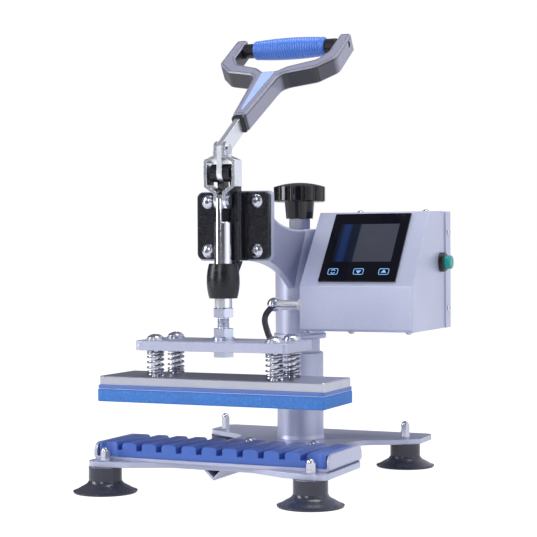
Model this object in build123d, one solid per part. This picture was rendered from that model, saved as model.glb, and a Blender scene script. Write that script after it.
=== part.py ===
from build123d import *

import os
from math import asin, atan2, cos, hypot, pi, radians, sin, tan

os.makedirs("parts", exist_ok=True)

# A bench heat press for pen barrels. The press is drawn with its plunger on the Z axis,
# X to its right, Y to its back and the bench at Z = 0. save() then moves every piece so
# that the origin lies under the middle of the press.

# Feet and their studs
foot_spread = 200.0
foot_front = 39.5
foot_pitch = 252.5
foot_height = 23.0
cup_radius = 29.0
cup_wall = 2.4
cup_neck_radius = 15.0
cup_neck_height = 12.0
cup_seat_width = 2.0
cup_rim = 1.4
cup_edge = 0.5
cup_waist_share = 0.74
stud_radius = 2.5
stud_nut_flats = 8.0
front_lock_height = 3.5
rear_lock_height = 8.0
dome_hex_height = 5.5
dome_radius = 3.75

# Base plate
plate_thickness = 5.0
plate_side_margin = 16.0
plate_front_margin = 8.5
plate_rear_margin = 45.0
waist_half_width = 60.0
waist_front = 85.0
waist_rear = 178.0
front_recess = 22.0
front_step = 7.0
rear_step = 8.0
rear_wave_lead = 10.0
rear_wave_rise = 1.0
rear_wave_radius = 20.0
wave_radius = 30.0
plate_corner = 10.0
deck_bolt_x = 34.0
deck_bolt_y = 131.0
deck_bolt_radius = 3.0
deck_head_radius = 6.0
deck_head_height = 4.5
deck_nut_flats = 10.0
deck_nut_height = 5.0
socket_flats = 4.0
socket_depth = 2.0
thread_stand_out = 1.0
rail_half_width = 10.0
rail_depth = 9.5
rail_wall = 2.0
rail_front = -22.0
rail_rear = 150.0

# Tray and pen mat
tray_thickness = 3.0
tray_half_width = 115.2
tray_front = -33.0
tray_rear = 45.0
tray_lip_height = 15.2
tray_bend = 1.5
tray_lip_round = 8.0
tray_screw_x = 60.0
tray_screw_y = 5.0
tray_screw_radius = 2.0
tray_sink_depth = 2.0
tray_nut_flats = 7.0
tray_nut_height = 3.2
mat_height = 12.8
mat_side_gap = 1.6
mat_front = -31.0
mat_rear = 33.0
groove_count = 10
groove_pitch = 20.0
groove_width = 5.7
groove_depth = 7.0
groove_shoulder = 3.0
mat_scallop_radius = 12.0

# Column, post and height screw
column_y = 179.6
post_radius = 20.0
post_fit = 0.05
post_height = 194.0
tube_wall = 3.35
tube_height = 87.0
weld_bead = 0.9
weld_height = 4.0
screw_radius = 6.0
screw_fit = 0.1
screw_bore_depth = 72.0
screw_engagement = 58.0
collar_radius = 10.0
collar_height = 3.0
lock_nut_flats = 19.6
lock_nut_height = 10.6
knob_neck_radius = 15.0
knob_neck_height = 17.0
knob_radius = 26.0
knob_rim_height = 17.0
knob_crown = 2.2
knob_edge = 1.0
knob_shoulder = 2.0
knob_taper = 1.5
knob_flutes = 12
knob_flute_radius = 2.4

# Arm casting
hub_bottom = 129.0
hub_top = 238.5
hub_wall = 4.75
hub_cap = 8.5
hub_flange_radius = 26.5
hub_flange_height = 5.0
face_half_width = 36.5
face_bottom = 208.0
face_top = 271.5
face_thickness = 6.5
pad_half_width = 15.0
pad_bottom = 150.0
pad_top = 226.0
fan_top_drop = 17.5
fan_foot_half = 30.0
fan_keel_half = 3.5
fan_neck_half = 18.0
fan_depth = 36.0
casting_corner = 4.0
casting_edge = 2.4
box_screw_inset = 12.0
box_screw_spread = 11.0
box_screw_grip = 7.0

# Clamp body
clamp_face_y = 20.0
clamp_flange_thickness = 5.5
clamp_half_width = 36.0
clamp_bottom = 209.5
clamp_top = 270.5
clamp_screw_x = 24.2
clamp_screw_inset = 8.6
clamp_screw_rise = 7.5
clamp_screw_radius = 3.0
clamp_head_radius = 6.25
clamp_head_height = 4.0
block_half_width = 13.0
block_front = 9.5
nose_bottom = 174.4
nose_top = 205.6
nose_radius = 14.8
nose_end_radius = 12.7
nose_belly_share = 0.6
clamp_corner = 5.0
clamp_edge = 1.0
spine_corner = 2.5
rib_half_width = 4.5
rib_foot = 6.0
rib_slope_start = 14.0

# Toggle linkage
pivot_z = 287.0
crank = 21.0
link_length = 46.0
handle_swing = 130.0
lug_gap = 0.3
blade_thickness = 5.0
blade_width = 15.0
ear_thickness = 6.7
ear_radius = 8.0
ear_web_drop = 8.0
lug_radius = 8.0
pin_radius = 3.0
pin_fit = 0.05
pin_head_radius = 4.4
pin_head_height = 1.5
strap_thickness = 3.0
strap_half_width = 7.5
strap_bulge = 12.4
bulge_top = 296.5
bulge_bottom = 276.0
knee_top = 300.5
knee_bottom = 269.5
knee_round = 1.4

# Plunger and head bolt
plunger_radius = 8.0
plunger_fit = 0.05
plunger_bottom = 165.4
plunger_shoulder = 243.0
plunger_edge = 0.8
tongue_margin = 0.5
head_bolt_radius = 5.0
head_bolt_engagement = 20.0
head_bolt_head = 6.4
head_nut_flats = 17.0
head_nut_height = 8.0
washer_height = 2.6
washer_radius = 10.0

# Pressure plate, springs and heating platen
pressure_width = 149.5
pressure_depth = 62.0
pressure_thickness = 8.7
pressure_bottom = 128.0
pressure_corner = 6.0
plate_edge = 0.6
platen_corner = 2.0
platen_edge = 0.8
bolt_floor = 1.0
spring_x = 58.5
spring_y = 20.0
bolt_radius = 4.0
bolt_clearance = 0.6
bolt_head_radius = 7.5
bolt_head_height = 4.3
spring_washer_radius = 8.25
spring_washer_height = 1.5
spring_radius = 7.1
wire_radius = 1.0
spring_turns = 6.75
spring_seat_gap = 0.2
platen_width = 220.0
platen_depth = 65.0
platen_thickness = 8.0
platen_top = 104.0
backing_thickness = 3.0
backing_side = 0.5
backing_front = 2.5
layer_corner = 3.0
film_thickness = 0.7
pad_thickness = 11.3

# Handle
handle_lean = 56.0
stem_start = 48.0
fork_end = 206.0
fork_half_width = 62.0
fork_wall = 12.0
fork_over = 9.5
fork_under = 8.5
fork_edge = 1.2
fork_line_inset = 2.0
fork_line_width = 0.6
fork_line_depth = 0.4
stem_mouth_half = 6.5
stem_throat_half = 13.0
stem_length = 79.0
shoulder_half = 46.0
shoulder_rise = 10.0
shoulder_fall = 19.0
throat_half = 7.0
throat_rise = 6.0
crotch_half = 16.0
crotch_rise = 15.0
crotch_step = 8.0
crotch_height = 26.0
fork_small_round = 3.0
fork_end_round = 4.0
fork_crotch_round = 8.0
fork_bend_round = 10.0
fork_big_round = 12.0
blade_reach = 116.0
grip_place = 193.0
grip_offset = 3.0
grip_half_length = 38.0
grip_radius = 11.0
grip_end_radius = 9.2
grip_collar_radius = 7.3
rod_radius = 3.5
plug_length = 4.0
plug_width = 12.6
plug_drop = 1.5
plug_corner = 2.0
inlay_proud = 0.3
inlay_depth = 1.0
inlay_start = 9.0
inlay_end = 82.5
inlay_low_half = 1.2
inlay_high_half = 6.6
inlay_corner = 0.8

# Control box
box_left = 25.6
box_width = 114.0
box_front = 117.3
box_rear = 235.6
box_bottom = 139.5
box_top = 254.7
box_kink = 183.0
box_crest = 172.6
box_sheet = 1.5
cover_sheet = 1.2
cover_flange = 15.0
cover_screw_inset = 7.0
small_screw_radius = 1.5
small_head_radius = 3.4
small_head_height = 2.3
small_cross_depth = 0.9
small_screw_grip = 4.0
cover_screw_low = 19.5
cover_screw_high = 19.7
cover_screw_side = 22.0
bottom_screw_front = 5.0
mount_head_radius = 4.5
mount_head_height = 3.0
box_bend = 2.5
box_screw_radius = 2.5
glass_left = 44.0
glass_right = 122.0
glass_start = 5.0
glass_end = 87.0
glass_thickness = 2.0
window_left = 53.0
window_right = 113.0
window_start = 27.8
window_end = 73.9
display_thickness = 8.0
board_margin = 9.0
board_thickness = 1.6
relay_width = 45.0
relay_depth = 58.0
relay_height = 23.0
relay_share = 0.42
relay_back = 8.0
relay_corner = 3.0

# Power switch
switch_y = 208.0
switch_z = 205.0
bezel_radius = 9.75
bezel_height = 5.4
switch_body_radius = 8.0
switch_body_length = 22.0
button_radius = 6.75
button_reach = 11.4
button_travel = 2.5
button_depth = 3.0
button_edge = 1.4
switch_nut_flats = 22.0
switch_nut_height = 3.0

# Cable gland, heater cable and its terminal box
gland_y = 135.0
gland_z = 164.0
gland_collar_radius = 6.5
gland_collar_length = 7.6
gland_shaft_radius = 5.0
gland_shaft_length = 23.0
gland_ball_radius = 7.0
gland_ball_face = 6.4
gland_ball_lap = 2.4
gland_tail = 5.0
cable_lead = 7.0
cable_drop = 8.3
cable_diameter = 6.0
terminal_width = 18.0
terminal_depth = 14.5
terminal_height = 6.7
sleeve_radius = 4.6
sleeve_height = 3.0
terminal_x = 38.0
terminal_lift = 0.3
terminal_corner = 3.0
terminal_edge = 1.0

# The cable's way from the ball to the sleeve, as shares of that way along X, Y and Z
cable_shares = (
    (0.032, 0.093, 0.122),
    (0.138, 0.228, 0.218),
    (0.306, 0.410, 0.337),
    (0.496, 0.610, 0.462),
    (0.682, 0.774, 0.562),
    (0.849, 0.891, 0.665),
    (0.953, 0.963, 0.804),
)

# Running and seating clearances
free_gap = 0.3
seat_gap = 0.05

# Places worked out from the sizes above
foot_x = foot_spread / 2
foot_rear = foot_pitch - foot_front
plate_top = foot_height + plate_thickness
plate_front_x = foot_x + plate_side_margin
plate_front_y = -foot_front - plate_front_margin
plate_rear_y = foot_rear + plate_rear_margin
tray_floor_top = plate_top + tray_thickness
mat_top = tray_floor_top + mat_height
tube_bore = post_radius + post_fit
tube_radius = tube_bore + tube_wall
post_top = plate_top + post_height
hub_radius = post_radius + hub_wall
cap_inside = hub_top - hub_cap
clamp_seat_y = clamp_face_y + clamp_flange_thickness
clamp_screw_high = clamp_top - clamp_screw_inset
clamp_screw_low = clamp_bottom + clamp_screw_rise
clamp_grip = face_thickness - 1
face_back_y = clamp_seat_y + face_thickness
handle_pin_z = pivot_z + crank
plunger_pin_z = handle_pin_z - link_length
blade_half = blade_thickness / 2
lug_inner = blade_half + lug_gap
pressure_top = pressure_bottom + pressure_thickness
platen_bottom = platen_top - platen_thickness
backing_width = platen_width + 2 * backing_side
backing_depth = platen_depth + 2 * backing_front
backing_bottom = platen_bottom - backing_thickness
film_bottom = backing_bottom - film_thickness
pad_low = film_bottom - pad_thickness
box_right = box_left + box_width
terminal_y = platen_depth / 2 + terminal_depth / 2
cable_radius = cable_diameter / 2

half_span_x = (box_right + button_reach - foot_x - cup_radius) / 2
half_span_y = (plate_rear_y - foot_front - cup_radius) / 2
press_place = Location((-half_span_x, -half_span_y, 0))


def save(name, *solids):
    placed = [press_place * solid for solid in solids]
    shape = placed[0] if len(placed) == 1 else Compound(children=placed)
    export_step(shape, "parts/" + name + ".step")


def rod(x, y, low, high, radius):
    """A round bar along Z."""
    return Pos(x, y, low) * extrude(Circle(radius), high - low)


def cross_rod(y, z, left, right, radius):
    """A round bar along X."""
    return Plane((left, y, z), z_dir=(1, 0, 0)) * extrude(Circle(radius), right - left)


def deep_rod(x, z, front, rear, radius):
    """A round bar along Y."""
    return Plane((x, front, z), z_dir=(0, 1, 0)) * extrude(Circle(radius), rear - front)


def block(left, right, front, rear, low, high):
    size = (right - left, rear - front, high - low)
    return Pos(left, front, low) * Box(*size, align=(Align.MIN, Align.MIN, Align.MIN))


def hexagon(flats):
    return RegularPolygon(flats / 2, 6, major_radius=False)


def nut(x, y, low, flats, height, bore):
    """A hexagon nut whose corners are turned off at top and bottom."""
    corner = flats / 2 / cos(pi / 6)
    edge = (corner - flats / 2) * 0.8
    blank = Cylinder(corner, height, align=(Align.CENTER, Align.CENTER, Align.MIN))
    blank = chamfer(blank.edges().filter_by(GeomType.CIRCLE), edge * 0.58, edge)
    body = blank & extrude(hexagon(flats), height)
    return Pos(x, y, low) * (body - rod(0, 0, 0, height, bore))


def cap_arc(radius, low, high):
    """The arc from a rim up to a pole on the axis, part of a circle centred on the axis."""
    rise = high - low
    sphere = (radius * radius + rise * rise) / (2 * rise)
    half = asin(min(1.0, radius / sphere)) / 2
    middle = (sphere * sin(half), high - sphere + sphere * cos(half))
    return ThreePointArc((radius, low), middle, (0, high))


def round_head(radius, height):
    """A domed screw head standing on Z = 0."""
    side = height * 0.3
    line = Polyline((0, height), (0, 0), (radius, 0), (radius, side))
    return revolve(Plane.XZ * make_face(line + cap_arc(radius, side, height)), Axis.Z)


def driver_cross(radius, depth):
    """The cross recess of a screw head, cut down from Z = 0."""
    arms = Rectangle(radius * 1.1, radius * 0.26) + Rectangle(radius * 0.26, radius * 1.1)
    return extrude(arms, -depth)


def at_feet(front_height, rear_height):
    """Places of the four foot studs, with the height that belongs to each row."""
    rows = ((-foot_front, front_height), (foot_rear, rear_height))
    return [(side * foot_x, y, height) for y, height in rows for side in (-1, 1)]


def at_springs():
    return [(x * spring_x, y * spring_y) for y in (-1, 1) for x in (-1, 1)]


def foot_cup():
    """One suction cup: a solid neck over a thin bell that stands on a narrow ring."""
    under = cup_radius - cup_edge - cup_seat_width
    shoulder = foot_height - cup_neck_height
    ring = (cup_radius - cup_edge, 0)
    outer = Spline(
        (cup_neck_radius, shoulder),
        (cup_radius * cup_waist_share, shoulder * 0.47),
        (cup_radius, cup_rim),
        tangents=[(0.25, -1), (1, -0.25)],
    )
    roof = shoulder - cup_wall
    inner = cap_arc(under, 0, roof)
    side = Polyline((0, roof), (0, foot_height), (cup_neck_radius, foot_height), outer @ 0)
    foot = Polyline(outer @ 1, ring, (under, 0))
    profile = make_face(side + outer + foot + inner)
    cup = revolve(Plane.XZ * profile, Axis.Z)
    socket = rod(0, 0, shoulder, foot_height, stud_radius + seat_gap)
    return cup - socket


def dome_nut(x, y, low):
    flats = nut(x, y, low, stud_nut_flats, dome_hex_height, stud_radius + seat_gap)
    dome = Pos(x, y, low + dome_hex_height) * Sphere(dome_radius)
    cap = dome & rod(x, y, low + dome_hex_height, low + dome_hex_height + dome_radius, dome_radius)
    return flats + cap


def feet():
    cup = foot_cup()
    names = ("front_left", "front_right", "rear_left", "rear_right")
    shoulder = foot_height - cup_neck_height
    studs, locks, domes = [], [], []
    for name, (x, y, lock) in zip(names, at_feet(front_lock_height, rear_lock_height)):
        save("foot_" + name, Pos(x, y, 0) * cup)
        studs.append(rod(x, y, shoulder, plate_top + lock + dome_hex_height, stud_radius))
        locks.append(nut(x, y, plate_top, stud_nut_flats, lock, stud_radius + seat_gap))
        domes.append(dome_nut(x, y, plate_top + lock))
    save("foot_studs", *studs)
    save("foot_nuts", *locks, *domes)


def base_plate():
    """The plate, drawn as its right half with waves that pull in to a waist."""
    front_inner = plate_front_y + front_recess
    points = [
        (0, front_inner),
        (foot_x * 0.4, front_inner),
        (foot_x * 0.74, plate_front_y + front_step),
        (foot_x, plate_front_y),
        (plate_front_x, plate_front_y),
        (plate_front_x, tray_rear),
        (waist_half_width, waist_front),
        (waist_half_width, waist_rear),
        (foot_x + rear_step, foot_rear - rear_wave_lead),
        (plate_front_x, foot_rear - rear_wave_rise),
        (plate_front_x, plate_rear_y),
        (0, plate_rear_y),
    ]
    wave, corner = wave_radius, plate_corner
    rounds = [wave, wave, wave, corner, rear_wave_radius, wave, wave, corner, rear_step, corner]
    half = FilletPolyline(*points, radius=rounds)
    plate = extrude(make_face(half + mirror(half, Plane.YZ)), plate_thickness)
    plate = Pos(0, 0, foot_height) * plate
    for x, y, _ in at_feet(0, 0):
        plate -= rod(x, y, foot_height, plate_top, stud_radius + free_gap)
    deck_hole = deck_bolt_radius + seat_gap
    tray_hole = tray_screw_radius + seat_gap
    for side in (-1, 1):
        plate -= rod(side * deck_bolt_x, deck_bolt_y, foot_height, plate_top, deck_hole)
        plate -= rod(side * tray_screw_x, tray_screw_y, foot_height, plate_top, tray_hole)
    return plate


def stiffener_rail():
    """Angle iron under the plate, its corner down."""
    wall = rail_wall * hypot(rail_half_width, rail_depth)
    outer = [(-rail_half_width, 0), (0, -rail_depth), (rail_half_width, 0)]
    inner_half = rail_half_width - wall / rail_depth
    inner_deep = rail_depth - wall / rail_half_width
    inner = [(inner_half, 0), (0, -inner_deep), (-inner_half, 0)]
    profile = make_face(Polyline(*outer, *inner, close=True))
    length = rail_rear - rail_front
    return Plane((0, rail_rear, foot_height), x_dir=(1, 0, 0), z_dir=(0, -1, 0)) * extrude(profile, length)


def deck_bolts():
    bolts, nuts = [], []
    low = foot_height - deck_nut_height
    bore = deck_bolt_radius + seat_gap
    for side in (-1, 1):
        x = side * deck_bolt_x
        head = Pos(x, deck_bolt_y, plate_top) * round_head(deck_head_radius, deck_head_height)
        top = Pos(x, deck_bolt_y, plate_top + deck_head_height)
        socket = top * extrude(hexagon(socket_flats), -socket_depth)
        shank = rod(x, deck_bolt_y, low - thread_stand_out, plate_top, deck_bolt_radius)
        bolts.append(head - socket + shank)
        nuts.append(nut(x, deck_bolt_y, low, deck_nut_flats, deck_nut_height, bore))
    save("deck_bolts", *bolts, *nuts)


def tray():
    """Sheet bent up at both sides, with the upper corners of the lips rounded."""
    inner = tray_half_width - tray_thickness
    lip_top = plate_top + tray_lip_height
    outline = [
        (-tray_half_width, lip_top),
        (-tray_half_width, plate_top),
        (tray_half_width, plate_top),
        (tray_half_width, lip_top),
        (inner, lip_top),
        (inner, tray_floor_top),
        (-inner, tray_floor_top),
        (-inner, lip_top),
    ]
    profile = make_face(Polyline(*outline, close=True))
    low = profile.vertices().filter_by(lambda v: abs(v.Y - plate_top) < seat_gap)
    profile = fillet(low, tray_bend + tray_thickness)
    bend = profile.vertices().filter_by(lambda v: abs(v.Y - tray_floor_top) < seat_gap)
    profile = fillet(bend, tray_bend)
    length = tray_rear - tray_front
    sheet = Plane((0, tray_rear, 0), x_dir=(1, 0, 0), z_dir=(0, -1, 0)) * extrude(profile, length)
    tops = sheet.edges().filter_by(Axis.X).filter_by(lambda e: abs(e.center().Z - lip_top) < seat_gap)
    sheet = fillet(tops, tray_lip_round)
    for side in (-1, 1):
        x = side * tray_screw_x
        sheet -= rod(x, tray_screw_y, plate_top, tray_floor_top, tray_screw_radius + seat_gap)
        sink = screw_sink(tray_screw_radius + seat_gap)
        sheet -= Pos(x, tray_screw_y, tray_floor_top - tray_sink_depth) * sink
    return sheet


def screw_sink(radius):
    """The cone under a countersunk head, as wide a step as it is deep."""
    deep = tray_sink_depth
    return Cone(radius, radius + deep, deep, align=(Align.CENTER, Align.CENTER, Align.MIN))


def tray_screws():
    screws, nuts = [], []
    low = foot_height - tray_nut_height
    neck = tray_floor_top - tray_sink_depth
    bore = tray_screw_radius + seat_gap
    for side in (-1, 1):
        x = side * tray_screw_x
        head = Pos(x, tray_screw_y, neck) * screw_sink(tray_screw_radius)
        shank = rod(x, tray_screw_y, low - thread_stand_out, neck, tray_screw_radius)
        cross = driver_cross(tray_screw_radius * 1.7, tray_sink_depth * 0.6)
        screws.append(head + shank - Pos(x, tray_screw_y, tray_floor_top) * cross)
        nuts.append(nut(x, tray_screw_y, low, tray_nut_flats, tray_nut_height, bore))
    save("tray_screws", *screws, *nuts)


def pen_mat():
    """The silicone mat: a slab with a row of grooves whose shoulders are rounded."""
    half = tray_half_width - tray_thickness - mat_side_gap
    mid = (tray_floor_top + mat_top) / 2
    profile = Pos(0, mid) * Rectangle(2 * half, mat_height)
    first = -(groove_count - 1) * groove_pitch / 2
    for step in range(groove_count):
        x = first + step * groove_pitch
        profile -= Pos(x, mat_top - groove_depth / 2) * Rectangle(groove_width, groove_depth)
    shoulders = profile.vertices().filter_by(lambda v: abs(v.Y - mat_top) < seat_gap)
    profile = fillet(shoulders, groove_shoulder)
    length = mat_rear - mat_front
    mat = Plane((0, mat_rear, 0), x_dir=(1, 0, 0), z_dir=(0, -1, 0)) * extrude(profile, length)
    for side in (-1, 1):
        mat -= rod(side * foot_x, -foot_front, tray_floor_top, mat_top, mat_scallop_radius)
    return mat


def column_tube():
    """The lower tube with the weld bead that holds it to the plate."""
    tube = rod(0, column_y, plate_top, plate_top + tube_height, tube_radius)
    bead = Pos(0, column_y, plate_top) * Cone(
        tube_radius + weld_bead,
        tube_radius,
        weld_height,
        align=(Align.CENTER, Align.CENTER, Align.MIN),
    )
    bore = rod(0, column_y, plate_top, plate_top + tube_height, tube_bore)
    tube = tube + bead - bore
    mouth = tube.faces().sort_by(Axis.Z)[-1].edges()
    return chamfer(mouth.sort_by(SortBy.LENGTH)[-1], 1)


def post():
    body = rod(0, column_y, plate_top, post_top, post_radius)
    body = chamfer(body.faces().sort_by(Axis.Z)[-1].edges(), 1)
    return body - rod(0, column_y, post_top - screw_bore_depth, post_top, screw_radius + screw_fit)


def height_screw():
    """The screw and its retaining collar, which turns under the cap of the hub."""
    top = hub_top + lock_nut_height + knob_neck_height
    stem = rod(0, column_y, post_top - screw_engagement, top, screw_radius)
    stem = chamfer(stem.edges().sort_by(Axis.Z)[0], 1)
    collar_top = cap_inside - free_gap
    return stem + rod(0, column_y, collar_top - collar_height, collar_top, collar_radius)


def knob():
    """A moulded knob: fluted rim with a low crown over a tapered neck."""
    neck_low = hub_top + free_gap + lock_nut_height
    rim_low = neck_low + knob_neck_height
    rim_high = rim_low + knob_rim_height
    rim = Circle(knob_radius)
    for step in range(knob_flutes):
        turn = Rot(0, 0, 360 / knob_flutes * step)
        rim -= turn * Pos(knob_radius + knob_flute_radius * 0.35, 0) * Circle(knob_flute_radius)
    rim_body = Pos(0, 0, rim_low) * extrude(rim, knob_rim_height + knob_crown)
    low_edge = (knob_radius, rim_low + knob_edge)
    line = Polyline((0, rim_low), (knob_radius - knob_edge, rim_low), low_edge)
    line += Line(low_edge, (knob_radius, rim_high - knob_shoulder))
    crown = cap_arc(knob_radius, rim_high - knob_shoulder, rim_high + knob_crown)
    envelope = revolve(Plane.XZ * make_face(line + crown + Line(crown @ 1, (0, rim_low))), Axis.Z)
    neck = Pos(0, 0, neck_low) * Cone(
        knob_neck_radius - knob_taper,
        knob_neck_radius,
        knob_neck_height,
        align=(Align.CENTER, Align.CENTER, Align.MIN),
    )
    body = (rim_body & envelope) + neck
    screw_top = hub_top + lock_nut_height + knob_neck_height
    body -= rod(0, 0, neck_low, screw_top, screw_radius + seat_gap)
    return Pos(0, column_y, 0) * body


def lock_nut():
    low = hub_top + free_gap
    return nut(0, column_y, low, lock_nut_flats, lock_nut_height, screw_radius + seat_gap)


def web_section(y, top, top_half, bottom, bottom_half):
    """One cross-section of the arm between its face and its hub."""
    points = [(-top_half, top), (top_half, top), (bottom_half, bottom), (-bottom_half, bottom)]
    face = make_face(Polyline(*points, close=True))
    face = fillet(face.vertices(), casting_edge)
    return Plane((0, y, 0), x_dir=(1, 0, 0), z_dir=(0, -1, 0)) * face


def arm_casting():
    """Hub on the post, a fan that narrows to a keel, and the face that carries the clamp."""
    reach = column_y - hub_radius
    span = reach - face_back_y
    start = face_back_y - face_thickness / 2
    neck_y = face_back_y + span * 0.71
    hub_y = reach + hub_wall + casting_corner
    neck_low = face_bottom - fan_depth / 4
    sections = [
        web_section(start, face_top - fan_top_drop, face_half_width - 2.5, face_bottom + 3, fan_foot_half),
        web_section(face_back_y + span * 0.35, hub_top + 5, hub_radius, face_bottom, fan_foot_half * 0.4),
        web_section(neck_y, hub_top + 0.5, fan_neck_half, neck_low, fan_keel_half + 2),
        web_section(hub_y, hub_top - 0.5, fan_neck_half - 3, face_bottom - fan_depth, fan_keel_half),
    ]
    fan = loft(sections)
    hub = rod(0, column_y, hub_bottom, hub_top, hub_radius)
    hub = fillet(hub.edges().sort_by(Axis.Z)[-1], 1.5)
    flange = rod(0, column_y, hub_bottom, hub_bottom + hub_flange_height, hub_flange_radius)
    flange = chamfer(flange.edges().filter_by(GeomType.CIRCLE), 1)
    face_size = (2 * face_half_width, face_thickness, face_top - face_bottom)
    face_mid = ((clamp_seat_y + face_back_y) / 2, (face_top + face_bottom) / 2)
    face = Pos(0, *face_mid) * Box(*face_size)
    face = fillet(face.edges().filter_by(Axis.Y), casting_corner)
    pad = block(0, box_left, column_y - pad_half_width, column_y + pad_half_width, pad_bottom, pad_top)
    pad = fillet(pad.edges().filter_by(Axis.X), casting_corner - 1)
    arm = hub + flange + fan + face + pad
    arm -= rod(0, column_y, hub_bottom, cap_inside, tube_bore)
    arm -= rod(0, column_y, cap_inside, hub_top, screw_radius + screw_fit)
    clamp_hole = clamp_screw_radius + seat_gap
    for x, z in clamp_screw_places():
        arm -= deep_rod(x, z, clamp_seat_y, clamp_seat_y + clamp_grip, clamp_hole)
    box_hole = box_screw_radius + seat_gap
    for y, z in box_screw_places():
        arm -= cross_rod(y, z, box_left - box_screw_grip, box_left, box_hole)
    return arm


def clamp_screw_places():
    heights = (clamp_screw_low, clamp_screw_high)
    return [(side * clamp_screw_x, z) for z in heights for side in (-1, 1)]


def box_screw_places():
    low = (column_y - box_screw_spread, pad_bottom + box_screw_inset)
    high = (column_y + box_screw_spread, pad_top - box_screw_inset)
    return [low, high]


def ear_outline():
    """Side view of one ear: round about the pivot, then a web back to the block."""
    head = Pos(0, pivot_z) * Circle(ear_radius)
    web = make_face(
        Polyline(
            (0, pivot_z + ear_radius),
            (clamp_face_y - ear_radius / 2, pivot_z + ear_radius / 2),
            (clamp_face_y, clamp_top),
            (clamp_face_y, clamp_top - ear_web_drop),
            (block_front + 1, clamp_top - ear_web_drop),
            (block_front - 1, pivot_z - ear_radius),
            (0, pivot_z - ear_radius),
            close=True,
        )
    )
    return head + web


def clamp_body():
    """The clamp: bolted flange, central block, nose that guides the plunger, two ears."""
    flange_size = (2 * clamp_half_width, clamp_flange_thickness, clamp_top - clamp_bottom)
    flange_mid = ((clamp_face_y + clamp_seat_y) / 2, (clamp_top + clamp_bottom) / 2)
    flange = Pos(0, *flange_mid) * Box(*flange_size)
    flange = fillet(flange.edges().filter_by(Axis.Y), clamp_corner)
    flange = chamfer(flange.faces().sort_by(Axis.Y)[0].edges(), clamp_edge)
    half = block_half_width
    low, high = clamp_bottom - clamp_edge, clamp_top - clamp_edge / 2
    spine = block(-half, half, block_front, clamp_seat_y, low, high)
    spine = fillet(spine.edges().filter_by(Axis.Z).group_by(Axis.Y)[0], spine_corner)
    ends = [(nose_end_radius, nose_top), (nose_end_radius, nose_bottom)]
    line = Polyline(ends[0], (0, nose_top), (0, nose_bottom), ends[1])
    belly = ThreePointArc(
        ends[1],
        (nose_radius, nose_bottom + nose_belly_share * (nose_top - nose_bottom)),
        ends[0],
    )
    nose = revolve(Plane.XZ * make_face(line + belly), Axis.Z)
    rib_top = face_bottom - free_gap
    rib = make_face(
        Polyline(
            (block_front, nose_bottom + rib_foot),
            (nose_end_radius + 1, nose_bottom + rib_foot),
            (nose_radius + 1, nose_bottom + rib_slope_start),
            (face_back_y, rib_top - 1),
            (face_back_y, rib_top),
            (clamp_seat_y, rib_top),
            (clamp_seat_y, clamp_bottom + clamp_edge),
            (block_front, clamp_bottom + clamp_edge),
            close=True,
        )
    )
    rib = Plane.YZ * extrude(rib, rib_half_width, both=True)
    body = flange + spine + nose + rib
    ears = ear_outline()
    for start in (-lug_inner - ear_thickness, lug_inner):
        body += Plane((start, 0, 0), x_dir=(0, 1, 0), z_dir=(1, 0, 0)) * extrude(ears, ear_thickness)
    body -= rod(0, 0, nose_bottom, nose_top, plunger_radius + plunger_fit)
    body -= cross_rod(0, pivot_z, -block_half_width, block_half_width, pin_radius + pin_fit)
    clamp_hole = clamp_screw_radius + seat_gap
    for x, z in clamp_screw_places():
        body -= deep_rod(x, z, clamp_face_y, clamp_seat_y, clamp_hole)
    return body


def clamp_screws():
    screws = []
    for x, z in clamp_screw_places():
        head = Plane((x, clamp_face_y, z), z_dir=(0, -1, 0)) * socket_head()
        shank = deep_rod(x, z, clamp_face_y, clamp_seat_y + clamp_grip, clamp_screw_radius)
        screws.append(head + shank)
    return screws


def socket_head():
    """A flanged button head with a hexagon socket, standing on Z = 0."""
    head = round_head(clamp_head_radius, clamp_head_height)
    return head - Pos(0, 0, clamp_head_height) * extrude(hexagon(socket_flats), -socket_depth)


def side_pin(z, reach):
    """A headed pin along X whose heads end at the given reach."""
    pin = cross_rod(0, z, -reach, reach, pin_radius)
    for side in (-1, 1):
        inner = side * (reach - pin_head_height)
        low, high = sorted((inner, side * reach))
        pin += cross_rod(0, z, low, high, pin_head_radius)
    return pin


def bend_shift(drop):
    """Share of the sheet's thickness by which the outer side of a bend lies further along."""
    return tan(atan2(strap_bulge - lug_inner, drop) / 2)


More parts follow.
